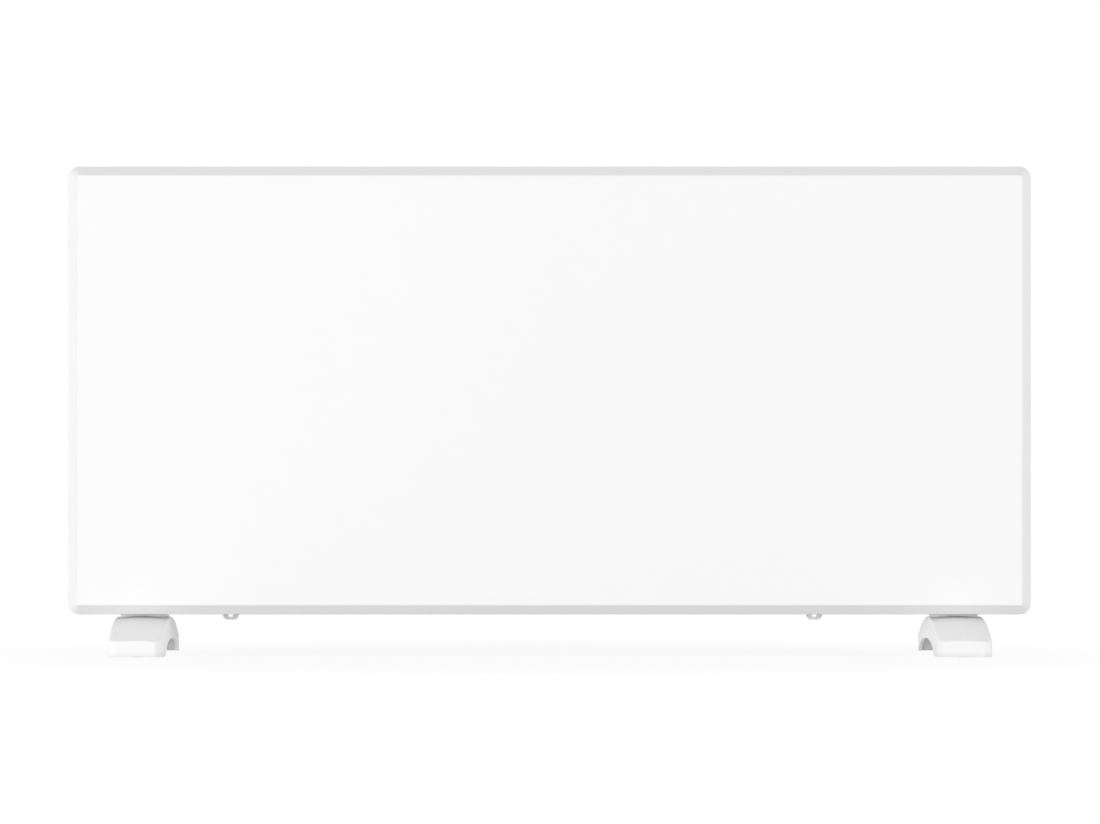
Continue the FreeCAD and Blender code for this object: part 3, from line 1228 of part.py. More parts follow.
def build():
    """Every node of the heater by name."""
    return {
        "front_frame": front_frame(),
        "front_glass": front_glass(),
        "glass_tape": glass_tape(),
        "heat_shield": heat_shield(),
        "shield_screws": rear_screws(shield_screw_places(), FRAME_BACK + SHIELD_SHEET),
        "rear_casing": rear_casing(),
        "casing_screws": rear_screws(casing_screw_places(), CASING_FRONT),
        "outlet_grille": outlet_grille(),
        "heat_fins_lower": heat_fins(ELEMENT_LOW),
        "heat_fins_upper": heat_fins(ELEMENT_HIGH),
        "heater_rod_lower": heater_rod(ELEMENT_LOW),
        "heater_rod_upper": heater_rod(ELEMENT_HIGH),
        "element_bushes": element_bushes(),
        "element_bracket": element_bracket(),
        "compartment_wall": compartment_wall(),
        "overheat_cutout": overheat_cutout(),
        "tip_over_switch": tip_over_switch(),
        "control_panel": control_panel(),
        "thermostat_body": thermostat_body(),
        "thermostat_nut": thermostat_nut(),
        "thermostat_shaft": thermostat_shaft(),
        "thermostat_knob": thermostat_knob(),
        "pilot_lamp": pilot_lamp(),
        "switch_housing_upper": switch_housing(SWITCH_HIGH),
        "switch_housing_lower": switch_housing(SWITCH_LOW),
        "heat_rocker_upper": heat_rocker(SWITCH_HIGH),
        "heat_rocker_lower": heat_rocker(SWITCH_LOW),
        "terminal_block": terminal_block(),
        "terminal_screws": terminal_screws(),
        "earth_screw": earth_screw(),
        "cord_gland": cord_gland(),
        "live_wires": live_wires(),
        "neutral_wires": neutral_wires(),
        "earth_wire": earth_wire(),
        "foot_left": foot(-1),
        "foot_right": foot(1),
        "foot_screws": foot_screws(),
        "foot_nuts": foot_nuts(),
        "foot_pads": foot_pads(),
    }


def main():
    os.makedirs("parts", exist_ok=True)
    for name, shape in build().items():
        shape.exportStep(os.path.join("parts", name + ".step"))
        print(name, len(shape.Solids), "valid" if shape.isValid() else "INVALID")


main()
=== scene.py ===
# %% [markdown]
# # A white panel heater on two feet
# This lesson dresses a heater whose solids are already made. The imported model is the
# frame: every piece made here uses its metres and its axes. X runs to the right seen
# from the front, Y runs from front to back, and Z runs up from the floor.

# %% Load the solids and keep their box
import bmesh
import bpy
import json
import math
from mathutils import Matrix, Vector
from mathutils.bvhtree import BVHTree


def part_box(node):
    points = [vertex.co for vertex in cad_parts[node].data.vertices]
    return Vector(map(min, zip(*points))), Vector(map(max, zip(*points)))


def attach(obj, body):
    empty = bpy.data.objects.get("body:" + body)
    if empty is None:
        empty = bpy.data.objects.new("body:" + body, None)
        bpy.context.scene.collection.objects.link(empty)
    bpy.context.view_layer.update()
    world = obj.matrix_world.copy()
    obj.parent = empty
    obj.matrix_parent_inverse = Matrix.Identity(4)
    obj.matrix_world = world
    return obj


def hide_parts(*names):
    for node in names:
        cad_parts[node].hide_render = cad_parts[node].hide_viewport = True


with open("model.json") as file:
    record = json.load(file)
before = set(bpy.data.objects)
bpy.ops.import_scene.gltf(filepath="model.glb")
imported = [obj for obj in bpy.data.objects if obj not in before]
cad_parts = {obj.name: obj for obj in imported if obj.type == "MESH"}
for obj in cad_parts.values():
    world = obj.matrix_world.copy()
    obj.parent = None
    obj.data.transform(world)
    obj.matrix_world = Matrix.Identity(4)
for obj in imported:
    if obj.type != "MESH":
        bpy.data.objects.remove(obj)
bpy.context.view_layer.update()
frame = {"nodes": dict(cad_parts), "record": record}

# %% [markdown]
# ## The camera
# The heater was photographed from far away with a long lens, on a low tripod.
# A long lens could be swapped for a near camera, but then the feet would open up too
# much to the sides. Lines that run away from us meet a little below and to the left of
# the picture's middle, so the lens is shifted and the camera stays level: all upright
# edges stay upright.

# %% Make the camera
PICTURE_WIDTH = 1100
SENSOR_MM = 36.0
FOCAL_PIXELS = 4647.0
VANISHING_LEFT = 35.0   # pixels from the middle of the picture
VANISHING_BELOW = 104.8
CAMERA_PLACE = (-0.0308, -4.183, 0.1237)   # metres
DRAWN_TO = 60           # metres from the camera

lens = bpy.data.cameras.new("long_lens")
lens.sensor_fit = "HORIZONTAL"
lens.sensor_width = SENSOR_MM
lens.lens = FOCAL_PIXELS / PICTURE_WIDTH * SENSOR_MM
lens.shift_x = VANISHING_LEFT / PICTURE_WIDTH
lens.shift_y = VANISHING_BELOW / PICTURE_WIDTH
lens.clip_end = DRAWN_TO
camera = bpy.data.objects.new("camera", lens)
camera.location = CAMERA_PLACE
camera.rotation_euler = (math.radians(90), 0, 0)
bpy.context.scene.collection.objects.link(camera)
bpy.context.scene.camera = camera
print("lens", round(lens.lens, 1), "mm")

# %% [markdown]
# ## Sums in node trees
# A finish is a small tree of nodes. Writing every Math node by hand hides the idea, so
# one class wraps a number socket and turns Python sums into Math nodes. A second class
# adds any other node: first its settings, then its sockets.

# %% A number socket that can be used in sums
class Amount:
    """A number in a node tree. Sums and products of amounts add Math nodes."""

    def __init__(self, recipe, socket):
        self.recipe = recipe
        self.socket = socket

    def math(self, operation, first, second):
        settings = {"operation": operation}
        node = self.recipe.add("ShaderNodeMath", settings, {0: first, 1: second})
        return Amount(self.recipe, node.outputs[0])

    def __add__(self, other):
        return self.math("ADD", self, other)

    def __radd__(self, other):
        return self.math("ADD", other, self)

    def __sub__(self, other):
        return self.math("SUBTRACT", self, other)

    def __rsub__(self, other):
        return self.math("SUBTRACT", other, self)

    def __mul__(self, other):
        return self.math("MULTIPLY", self, other)

    def __rmul__(self, other):
        return self.math("MULTIPLY", other, self)

    def __truediv__(self, other):
        return self.math("DIVIDE", self, other)

    def __rtruediv__(self, other):
        return self.math("DIVIDE", other, self)

    def __pow__(self, other):
        return self.math("POWER", self, other)

    def at_most(self, other):
        return self.math("MINIMUM", self, other)

    def at_least(self, other):
        return self.math("MAXIMUM", self, other)


# %% A builder for node trees
class Recipe:
    """Adds nodes to one tree."""

    def __init__(self, tree):
        self.tree = tree

    def find(self, sockets, key):
        if isinstance(key, int):
            return sockets[key]
        named = [s for s in sockets if s.identifier == key]
        return named[0] if named else sockets[key]

    def feed(self, socket, value):
        if isinstance(value, Amount):
            value = value.socket
        if isinstance(value, bpy.types.NodeSocket):
            self.tree.links.new(value, socket)
        else:
            socket.default_value = value

    def add(self, kind, settings=None, sockets=None):
        node = self.tree.nodes.new(kind)
        for key, value in (settings or {}).items():
            setattr(node, key, value)
        for key, value in (sockets or {}).items():
            self.feed(self.find(node.inputs, key), value)
        return node

    def amount(self, node, output=0):
        return Amount(self, self.find(node.outputs, output))


# %% [markdown]
# ## The studio
# The heater stands on white paper in even light. A white floor could be made by adding
# light until it burns out, but that would bleach the heater too. Here the world and the
# floor look white only to the camera and to mirror rays, while the light that reaches
# the heater stays at a plain level. Some light comes up through the paper, as on a light
# table, and brightens the lower slope of the frame and the feet. Close to the feet the
# floor stays a real surface, so that the shadow lands on it.

# %% World
AMBIENT = 0.26   # light that the room gives the heater from all sides


def looking_rays(recipe):
    """1 for rays of the camera, of mirrors and of clear pieces, 0 for those that carry light."""
    path = recipe.add("ShaderNodeLightPath")
    looking = recipe.amount(path, "Is Camera Ray").at_least(recipe.amount(path, "Is Glossy Ray"))
    return looking.at_least(recipe.amount(path, "Is Transmission Ray"))


world = bpy.data.worlds.new("white_studio")
world.use_nodes = True
world.node_tree.nodes.clear()
sky = Recipe(world.node_tree)
glow = {"Color": (1, 1, 1, 1), "Strength": AMBIENT + looking_rays(sky) * (1 - AMBIENT)}
background = sky.add("ShaderNodeBackground", {}, glow)
sky.add("ShaderNodeOutputWorld", {}, {"Surface": background.outputs[0]})
bpy.context.scene.world = world
bpy.context.scene.view_settings.view_transform = "Standard"
print("world ready, ambient", AMBIENT)

# %% Floor
FLOOR_HALF = 14.0
SHADOW_REACH = 0.3    # metres from the middle, past which the paper turns plain white
TABLE_GLOW = 0.47     # light that comes up through the paper and reaches the heater
TABLE_BOUNCE = 0.1    # share of the light that falls on the paper and comes back
PAPER_TONE, PAPER_MOTTLE = 0.79, 0.02

floor_mesh = bpy.data.meshes.new("paper_floor")
corners = [(-1, -1), (1, -1), (1, 1), (-1, 1)]
floor_mesh.from_pydata([(x * FLOOR_HALF, y * FLOOR_HALF, 0) for x, y in corners], [], [(0, 1, 2, 3)])
floor = bpy.data.objects.new("paper_floor", floor_mesh)
bpy.context.scene.collection.objects.link(floor)

paper = bpy.data.materials.new("white_paper")
paper.use_nodes = True
paper.node_tree.nodes.clear()
sheet = Recipe(paper.node_tree)
place = sheet.add("ShaderNodeTexCoord").outputs["Object"]
far = sheet.amount(sheet.add("ShaderNodeVectorMath", {"operation": "LENGTH"}, {0: place}), "Value")
plain = ((far - SHADOW_REACH) / SHADOW_REACH).at_least(0).at_most(1)
fibre = sheet.add("ShaderNodeTexNoise", {}, {"Vector": place, "Scale": 260.0, "Detail": 3.0})
shade = sheet.amount(fibre, "Fac") * PAPER_MOTTLE + PAPER_TONE
tone = sheet.add("ShaderNodeCombineColor", {}, {0: shade, 1: shade, 2: shade})
matt = sheet.add("ShaderNodeBsdfDiffuse", {}, {"Color": tone.outputs[0]})
to_eye = looking_rays(sheet)
shine = TABLE_GLOW + to_eye * (1 - TABLE_GLOW)
shine = sheet.add("ShaderNodeCombineColor", {}, {0: shine, 1: shine, 2: shine})
white = sheet.add("ShaderNodeEmission", {}, {"Color": shine.outputs[0], "Strength": 1.0})
share = 1 - TABLE_BOUNCE + to_eye * plain * TABLE_BOUNCE
mixed = {0: share, 1: matt.outputs[0], 2: white.outputs[0]}
surface = sheet.add("ShaderNodeMixShader", {}, mixed)
sheet.add("ShaderNodeOutputMaterial", {}, {"Surface": surface.outputs[0]})
floor_mesh.materials.append(paper)
print("floor ready, shadow kept to", SHADOW_REACH, "m")

# %% [markdown]
# ## The lamps
# A wide softbox stands behind the camera, low enough to reach the lugs at the back under
# the heater. A second one stands to the left, and a weaker one to the right. The left one
# is stronger, because in the picture the right-hand slope of the frame is a little darker
# than the left one. A weak one above lights the upper slope, and one behind, on the left
# as well, keeps the back from going dark. A softbox would show as a bright patch in the
# glass, so mirror rays don't see the lamps: they see the white room.

# %% Make the softboxes
HEATER_MIDDLE = Vector((0, 0, 0.23))
SOFTBOXES = {   # place, width and height in metres, power in watts
    "front_softbox": ((0.0, -5.2, 0.2), 4.0, 0.36, 85.0),
    "left_softbox": ((-3.3, -1.6, 0.27), 1.6, 0.5, 67.0),
    "right_softbox": ((3.3, -1.6, 0.62), 1.6, 0.8, 47.0),
    "top_softbox": ((0.0, -1.0, 3.0), 2.4, 1.2, 17.0),
    "rear_softbox": ((-1.2, 4.2, 2.4), 3.0, 2.0, 90.0),
}


def softbox(name, place, width, height, power):
    """A rectangular lamp that looks at the middle of the heater."""
    lamp = bpy.data.lights.new(name, "AREA")
    lamp.shape = "RECTANGLE"
    lamp.size = width
    lamp.size_y = height
    lamp.energy = power
    holder = bpy.data.objects.new(name, lamp)
    holder.location = place
    aim = HEATER_MIDDLE - Vector(place)
    holder.rotation_euler = aim.to_track_quat("-Z", "Y").to_euler()
    holder.visible_glossy = False
    bpy.context.scene.collection.objects.link(holder)


for name, facts in SOFTBOXES.items():
    softbox(name, *facts)
print("lamps:", len(SOFTBOXES))

# %% [markdown]
# ## Ready-made parts of a finish
# Every finish here is a Principled shader whose colour, roughness and bump vary a little.
# The patterns use Object coordinates, which are metres on this heater, so a scale of
# 1000 gives grains of about a millimetre.

# %% A finish and its patterns
class Finish(Recipe):
    """A material with one Principled shader."""

    def __init__(self, name, **fixed):
        self.material = bpy.data.materials.new(name)
        self.material.use_nodes = True
        super().__init__(self.material.node_tree)
        self.tree.nodes.clear()
        self.shader = self.add("ShaderNodeBsdfPrincipled")
        self.add("ShaderNodeOutputMaterial", {}, {"Surface": self.shader.outputs[0]})
        self.place = self.add("ShaderNodeTexCoord").outputs["Object"]
        for key, value in fixed.items():
            self.shader.inputs[key.replace("_", " ")].default_value = value

    def stretched(self, x, y, z):
        settings = {"Vector": self.place, "Scale": (x, y, z)}
        return self.add("ShaderNodeMapping", {}, settings).outputs[0]

    def grain(self, scale, detail, along=None):
        vector = self.place if along is None else self.stretched(*along)
        sockets = {"Vector": vector, "Scale": scale, "Detail": detail}
        return self.amount(self.add("ShaderNodeTexNoise", {}, sockets), "Fac")

    def height(self):
        return self.amount(self.add("ShaderNodeSeparateXYZ", {}, {0: self.place}), "Z")

    def edges(self, radius):
        """About 1 on an edge and 0 on a flat, from the normals of a rounded edge."""
        soft = self.add("ShaderNodeBevel", {"samples": 4}, {"Radius": radius}).outputs[0]
        true = self.add("ShaderNodeNewGeometry").outputs["True Normal"]
        dot = self.add("ShaderNodeVectorMath", {"operation": "DOT_PRODUCT"}, {0: soft, 1: true})
        return ((1 - self.amount(dot, "Value")) * 4).at_most(1)

    def blend(self, share, first, second):
        sockets = {"Factor_Float": share, "A_Color": first, "B_Color": second}
        settings = {"data_type": "RGBA"}
        return self.find(self.add("ShaderNodeMix", settings, sockets).outputs, "Result_Color")

    def apply(self, colour, roughness, relief, depth, strength):
        self.feed(self.shader.inputs["Base Color"], colour)
        self.feed(self.shader.inputs["Roughness"], roughness)
        sockets = {"Height": relief, "Distance": depth, "Strength": strength}
        bump = self.add("ShaderNodeBump", {}, sockets)
        self.feed(self.shader.inputs["Normal"], bump.outputs[0])
        return self.material


def grey(level, warm=0.0):
    """A grey as a colour, a little warm where asked."""
    return (level + warm, level, level - warm, 1)


finishes = {}

# %% [markdown]
# ## White paints and the glass
# The frame has a smooth satin paint, the casing a powder coat with the fine skin of an
# orange, and the front is clear glass over a white coat. The frame looks greyer than the
# front in the picture although both are white, mostly because its slope looks away from
# the lamps. So its paint is only a little greyer, and has less gloss.

# %% Satin paint of the frame
paint = Finish("satin_frame_paint", Coat_Weight=0.18, Coat_Roughness=0.25)
cloud = paint.grain(9.0, 3.0)
peel = paint.grain(420.0, 2.0)
# The frame's edges are painted a little lighter: a painted highlight along them, broken up by a grain.
edge_wear_and_highlight = paint.edges(0.0008) * paint.grain(160.0, 4.0)
colour = paint.blend(cloud, grey(0.79), grey(0.805))
colour = paint.blend(edge_wear_and_highlight * 0.1, colour, grey(0.85))
finishes["frame_paint"] = paint.apply(colour, 0.36 + peel * 0.1, peel, depth=0.00004, strength=0.35)
print("frame paint:", len(paint.tree.nodes), "nodes")

# %% Glass over a white coat
glass = Finish("white_backed_glass", Coat_Weight=1.0, Coat_Roughness=0.03, Coat_IOR=1.5)
cloud = glass.grain(3.2, 2.0)
speck = glass.grain(2600.0, 1.0)
colour = glass.blend(cloud, grey(0.872), grey(0.88))
finishes["glass_white"] = glass.apply(colour, 0.42 + speck * 0.08, cloud, depth=0.0004, strength=0.04)
print("glass:", len(glass.tree.nodes), "nodes")

# %% Powder coat of the casing
powder = Finish("powder_coat")
skin = powder.grain(520.0, 3.0)
cloud = powder.grain(7.0, 3.0)
# On the casing the edges are painted darker, as wear through the coat.
edge_wear_and_highlight = powder.edges(0.0007) * powder.grain(220.0, 4.0)
colour = powder.blend(cloud, grey(0.85), grey(0.88))
colour = powder.blend(edge_wear_and_highlight * 0.3, colour, grey(0.62))
finishes["casing_paint"] = powder.apply(colour, 0.46 + skin * 0.16, skin, depth=0.00012, strength=0.5)
print("powder coat:", len(powder.tree.nodes), "nodes")

# %% [markdown]
# ## Moulded plastics
# Feet, grille, control plate, knob and gland are injection moulded. Such a mould has a
# spark-eroded skin, a fine even grain, with long faint flow marks. The feet turn a patchy
# darker grey close to the floor, the grille yellows a little over the warm air.

# %% White plastics
def moulded(name, level, warm, grain, rough):
    """White plastic with a fine grain, faint flow marks and a painted highlight on its edges."""
    skin = Finish(name)
    spark = skin.grain(grain, 2.0)
    flow = skin.grain(38.0, 3.0, (0.35, 1.0, 1.6))
    # Edges are painted lighter here: a painted highlight.
    rubbed_and_highlit_edges = skin.edges(0.0006) * skin.grain(300.0, 3.0)
    tone = skin.blend(flow, grey(level - 0.018, warm), grey(level + 0.008, warm))
    tone = skin.blend(rubbed_and_highlit_edges * 0.3, tone, grey(min(level + 0.05, 0.9), warm))
    return skin, spark, tone, rough + spark * 0.12


skin, spark, tone, rough = moulded("foot_moulding", level=0.89, warm=0.0, grain=2100.0, rough=0.32)
DARK_BAND_HEIGHT = 0.006   # metres up from the floor
# The feet are painted a patchy darker grey in a band just above the floor.
low = (1 - skin.height() / DARK_BAND_HEIGHT).at_least(0)
darker_near_floor = low * skin.grain(420.0, 5.0, (0.4, 1.0, 3.0))
tone = skin.blend(darker_near_floor * 0.5, tone, grey(0.45, 0.01))
finishes["foot_plastic"] = skin.apply(tone, rough + darker_near_floor * 0.2, spark, depth=0.00005, strength=0.3)

skin, spark, tone, rough = moulded("grille_moulding", level=0.80, warm=0.004, grain=1700.0, rough=0.42)
warmth = skin.grain(5.0, 2.0)
tone = skin.blend(warmth * 0.12, tone, (0.74, 0.70, 0.60, 1))
finishes["grille_plastic"] = skin.apply(tone, rough, spark, depth=0.00006, strength=0.35)

skin, spark, tone, rough = moulded("control_moulding", level=0.79, warm=0.0, grain=1500.0, rough=0.46)
finishes["control_plastic"] = skin.apply(tone, rough, spark, depth=0.00008, strength=0.5)

skin, spark, tone, rough = moulded("knob_moulding", level=0.82, warm=0.0, grain=2400.0, rough=0.30)
finishes["knob_plastic"] = skin.apply(tone, rough, spark, depth=0.00003, strength=0.3)

skin, spark, tone, rough = moulded("gland_moulding", level=0.76, warm=0.003, grain=1300.0, rough=0.48)
finishes["gland_plastic"] = skin.apply(tone, rough, spark, depth=0.00008, strength=0.5)
print("pale finishes:", sorted(finishes))

# %% Dark plastics
def dark(name, level, grain, rough, coat):
    """Black moulded plastic with dust in its grain, and edges painted lighter: partly rubbed wear, partly
    a painted highlight.
    """
    skin = Finish(name, Coat_Weight=coat, Coat_Roughness=0.12)
    spark = skin.grain(grain, 2.0)
    dust = skin.grain(90.0, 5.0) ** 3
    # Edges are painted lighter here: partly rubbed wear, partly a painted highlight.
    rubbed_and_highlit_edges = skin.edges(0.0005) * skin.grain(350.0, 4.0)
    tone = skin.blend(dust, grey(level), grey(level * 2.6))
    tone = skin.blend(rubbed_and_highlit_edges * 0.35, tone, grey(0.14))
    return skin.apply(tone, rough + spark * 0.15, spark, depth=0.00005, strength=0.35)


finishes["switch_black"] = dark("switch_moulding", level=0.018, grain=1900.0, rough=0.42, coat=0.0)
finishes["rocker_black"] = dark("rocker_moulding", level=0.014, grain=2600.0, rough=0.22, coat=0.5)

resin = Finish("brown_resin", Coat_Weight=0.3, Coat_Roughness=0.2)
swirl = resin.grain(150.0, 6.0, (1.0, 2.2, 0.6))
tone = resin.blend(swirl, (0.018, 0.011, 0.008, 1), (0.060, 0.036, 0.024, 1))
finishes["bakelite"] = resin.apply(tone, 0.30 + swirl * 0.25, swirl, depth=0.00006, strength=0.4)

rubber = Finish("grey_rubber")
bloom = rubber.grain(240.0, 5.0)
tone = rubber.blend(bloom, grey(0.055), grey(0.105))
finishes["pad_rubber"] = rubber.apply(tone, 0.72 + bloom * 0.2, bloom, depth=0.0001, strength=0.6)

foam = Finish("black_foam_tape")
cells = foam.add("ShaderNodeTexVoronoi", {}, {"Vector": foam.place, "Scale": 2200.0})
cells = foam.amount(cells, "Distance")
tone = foam.blend(cells, grey(0.03), grey(0.012))
finishes["foam_tape"] = foam.apply(tone, 0.85 - cells * 0.1, cells, depth=0.0002, strength=0.7)
print("dark finishes ready")

# %% [markdown]
# ## Metals
# Zinc-plated screws shine with a faint blue and yellow tint. The heat shield is galvanised
# sheet, whose zinc freezes in flat crystals as wide as a thumbnail. The finned elements
# are drawn aluminium with lines along their length, and the heater rods carry the
# straw-coloured tint that steel gets when it is hot.

# %% Bright metals
zinc = Finish("zinc_plating", Metallic=1.0)
film = zinc.grain(140.0, 3.0)
turning = zinc.grain(1800.0, 2.0)
tone = zinc.blend(film, (0.60, 0.63, 0.68, 1), (0.72, 0.70, 0.62, 1))
finishes["screw_steel"] = zinc.apply(tone, 0.24 + turning * 0.2, turning, depth=0.00003, strength=0.4)

spangle = Finish("galvanised_sheet", Metallic=1.0)
crystal = spangle.add("ShaderNodeTexVoronoi", {}, {"Vector": spangle.place, "Scale": 70.0})
face = spangle.add("ShaderNodeSeparateColor", {}, {0: crystal.outputs["Color"]})
face = spangle.amount(face, 0)
streak = spangle.grain(260.0, 3.0, (0.1, 1.0, 1.0))
tone = spangle.blend(face, grey(0.50), grey(0.66))
rough = 0.30 + face * 0.18 + streak * 0.08
finishes["shield_steel"] = spangle.apply(tone, rough, streak, depth=0.00004, strength=0.3)

drawn = Finish("drawn_aluminium", Metallic=1.0)
line = drawn.grain(900.0, 3.0, (0.02, 1.0, 1.0))
bloom = drawn.grain(45.0, 4.0)
tone = drawn.blend(bloom, (0.70, 0.71, 0.73, 1), (0.80, 0.80, 0.80, 1))
finishes["fin_aluminium"] = drawn.apply(tone, 0.30 + line * 0.2, line, depth=0.00004, strength=0.4)

sheath = Finish("heat_tinted_sheath", Metallic=1.0)
heat = sheath.grain(22.0, 2.0, (1.0, 0.2, 0.2))
line = sheath.grain(1500.0, 2.0, (0.03, 1.0, 1.0))
tone = sheath.blend(heat, (0.45, 0.42, 0.38, 1), (0.56, 0.47, 0.33, 1))
finishes["rod_steel"] = sheath.apply(tone, 0.32 + line * 0.18, line, depth=0.00003, strength=0.4)

brass = Finish("plain_brass", Metallic=1.0)
tarnish = brass.grain(320.0, 4.0)
tone = brass.blend(tarnish, (0.66, 0.46, 0.17, 1), (0.78, 0.60, 0.28, 1))
finishes["terminal_brass"] = brass.apply(tone, 0.26 + tarnish * 0.22, tarnish, depth=0.00003, strength=0.4)
print("metals ready")

# %% [markdown]
# ## Ceramic, lamp lens and wire insulation
# The bushes are glazed white ceramic with fine specks. The pilot lamp is a clear red
# plastic lens over a dark inside, moulded with fine ribs that spread the light. The wires
# have brown and blue insulation, and the earth wire is green with a yellow stripe.

# %% The small finishes
glaze = Finish("glazed_ceramic", Coat_Weight=0.6, Coat_Roughness=0.08)
fleck = glaze.grain(1400.0, 2.0) ** 4
tone = glaze.blend(fleck, (0.74, 0.71, 0.63, 1), (0.40, 0.36, 0.29, 1))
finishes["bush_ceramic"] = glaze.apply(tone, 0.28 + fleck * 0.3, fleck, depth=0.00004, strength=0.3)

clear = {"Transmission_Weight": 0.25, "IOR": 1.49}
lens_red = Finish("red_lens", Coat_Weight=1.0, Coat_Roughness=0.03, **clear)
depth = lens_red.grain(120.0, 2.0)
rib = {"wave_type": "BANDS", "bands_direction": "Z"}
rib = lens_red.add("ShaderNodeTexWave", rib, {"Vector": lens_red.place, "Scale": 400.0})
rib = lens_red.amount(rib, "Fac")
tone = lens_red.blend(depth, (0.42, 0.012, 0.008, 1), (0.60, 0.03, 0.015, 1))
finishes["lamp_red"] = lens_red.apply(tone, 0.12 + rib * 0.1, rib, depth=0.0001, strength=0.25)


def insulation(name, dull, bright, stripe=None):
    """Soft wire insulation: a satin skin with faint drawing marks."""
    skin = Finish(name)
    drawn_line = skin.grain(700.0, 3.0)
    tone = skin.blend(drawn_line, dull, bright)
    if stripe:
        wave = {"wave_type": "BANDS", "bands_direction": "DIAGONAL"}
        wave = skin.add("ShaderNodeTexWave", wave, {"Vector": skin.place, "Scale": 60.0})
        tone = skin.blend((skin.amount(wave, "Fac") - 0.5).at_least(0) * 2, tone, stripe)
    return skin.apply(tone, 0.40 + drawn_line * 0.15, drawn_line, depth=0.00004, strength=0.3)


BROWN = (0.045, 0.016, 0.007, 1), (0.075, 0.027, 0.012, 1)
BLUE = (0.008, 0.045, 0.20, 1), (0.014, 0.07, 0.29, 1)
GREEN = (0.02, 0.16, 0.03, 1), (0.035, 0.22, 0.045, 1)
YELLOW = (0.62, 0.50, 0.03, 1)
finishes["wire_brown"] = insulation("brown_insulation", *BROWN)
finishes["wire_blue"] = insulation("blue_insulation", *BLUE)
finishes["wire_green"] = insulation("earth_insulation", *GREEN, stripe=YELLOW)
print("finishes:", len(finishes))

# %% [markdown]
# ## Every solid gets its finish
# The record names a finish for every node. First all solids take their material from it.
# Those that show from outside are then replaced by smoother copies in the next steps.

# %% Give each node its finish
slot_of = {part["node"]: part["material_slot"] for part in frame["record"]["subparts"]}
for name, solid in frame["nodes"].items():
    solid.data.materials.clear()
    solid.data.materials.append(finishes[slot_of[name]])
    solid.data.polygons.foreach_set("material_index", [0] * len(solid.data.polygons))
print("nodes with a finish:", len(frame["nodes"]))

# %% [markdown]
# ## Smoother copies of the solids that show
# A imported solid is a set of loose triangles. A copy with its points merged can be shaded
# smoothly, with sharp edges only where two faces meet at a real corner. The Weighted Normal
# modifier keeps the large faces flat beside their small rounded edges.

# %% Copy, merge and smooth
SHARP_CORNER = 32      # degrees between two faces
SAME_POINT = 2e-6      # metres
body_of = {n: b for b, names in frame["record"]["behaviour"]["bodies"].items() for n in names}


def smooth(mesh, corner):
    """Smooth shading, with an edge left sharp where its faces meet at more than corner degrees."""
    mesh.polygons.foreach_set("use_smooth", [True] * len(mesh.polygons))
    mesh.set_sharp_from_angle(angle=math.radians(corner))


def stand_in(name, mesh, nodes):
    """An object that shows instead of these nodes, on their body and with their finish."""
    smooth(mesh, SHARP_CORNER)
    piece = bpy.data.objects.new(name, mesh)
    bpy.context.scene.collection.objects.link(piece)
    mesh.materials.append(finishes[slot_of[nodes[0]]])
    level = piece.modifiers.new("flat_faces", "WEIGHTED_NORMAL")
    level.keep_sharp = True
    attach(piece, body_of[nodes[0]])
    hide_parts(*nodes)
    return piece


def merged_copy(node):
    """The node's mesh with its loose triangles joined."""
    form = bmesh.new()
    form.from_mesh(frame["nodes"][node].data)
    bmesh.ops.remove_doubles(form, verts=form.verts, dist=SAME_POINT)
    form.verts.index_update()
    points = [v.co.copy() for v in form.verts]
    faces = [[v.index for v in f.verts] for f in form.faces]
    form.free()
    mesh = bpy.data.meshes.new(node + "_skin")
    mesh.from_pydata(points, [], faces)
    return mesh


SHOWN = (
    "rear_casing outlet_grille control_panel thermostat_knob pilot_lamp switch_housing_upper "
    "switch_housing_lower heat_rocker_upper heat_rocker_lower cord_gland foot_left foot_right foot_pads"
).split()
for node in SHOWN:
    piece = stand_in(node + "_skin", merged_copy(node), [node])
    print(piece.name, len(piece.data.polygons), "faces")

# %% [markdown]
# ## Frame and glass from one rule
# The frame is a bent and painted aluminium section: a side wall, a slope at 45 degrees, a
# narrow rim, a seat for the glass and a rear web. It could be a sweep along a path, but a
# sweep folds over itself inside tight corners. So each point of the section becomes a
# rounded rectangle of its own, drawn in by the point's inset, and neighbours are joined.
# The glass is made by the same rule and fills its seat: the joint round it is so narrow
# that no line shows, as in the picture.

# %% Loops round the panel
MM = 0.001   # sizes of the frame, the glass and the screws are in millimetres
HALF_WIDTH, HALF_HEIGHT, MIDDLE_Z = 430.0, 200.0, 236.5
CORNER_STEPS = 10


def panel_loop(inset, depth, radius):
    """The points of a rounded rectangle drawn in by inset, at one depth, in metres."""
    x, z = HALF_WIDTH - inset - radius, HALF_HEIGHT - inset - radius
    points = []
    for quarter, (side, rise) in enumerate(((1, 1), (-1, 1), (-1, -1), (1, -1))):
        for step in range(CORNER_STEPS + 1):
            turn = math.radians(90 * (quarter + step / CORNER_STEPS))
            across = side * x + radius * math.cos(turn)
            up = MIDDLE_Z + rise * z + radius * math.sin(turn)
            points.append(Vector((across, depth, up)) * MM)
    return points


def lofted(name, loops, closed):
    """A mesh through the loops: a ring if closed, else a body with a flat face at each end."""
    form = bmesh.new()
    rings = [[form.verts.new(p) for p in loop] for loop in loops]
    pairs = list(zip(rings, rings[1:]))
    if closed:
        pairs.append((rings[-1], rings[0]))
    for a, b in pairs:
        for i in range(len(a)):
            j = (i + 1) % len(a)
            form.faces.new((a[i], a[j], b[j], b[i]))
    if not closed:
        form.faces.new(rings[0])
        form.faces.new(rings[-1])
    bmesh.ops.recalc_face_normals(form, faces=form.faces)
    mesh = bpy.data.meshes.new(name)
    form.to_mesh(mesh)
    form.free()
    return mesh


def rounding(centre, radius, start, end, steps):
    """Points of an arc in the section, from start to end degrees."""
    spots = [math.radians(start + (end - start) * i / steps) for i in range(steps + 1)]
    return [(centre[0] + radius * math.cos(t), centre[1] + radius * math.sin(t)) for t in spots]


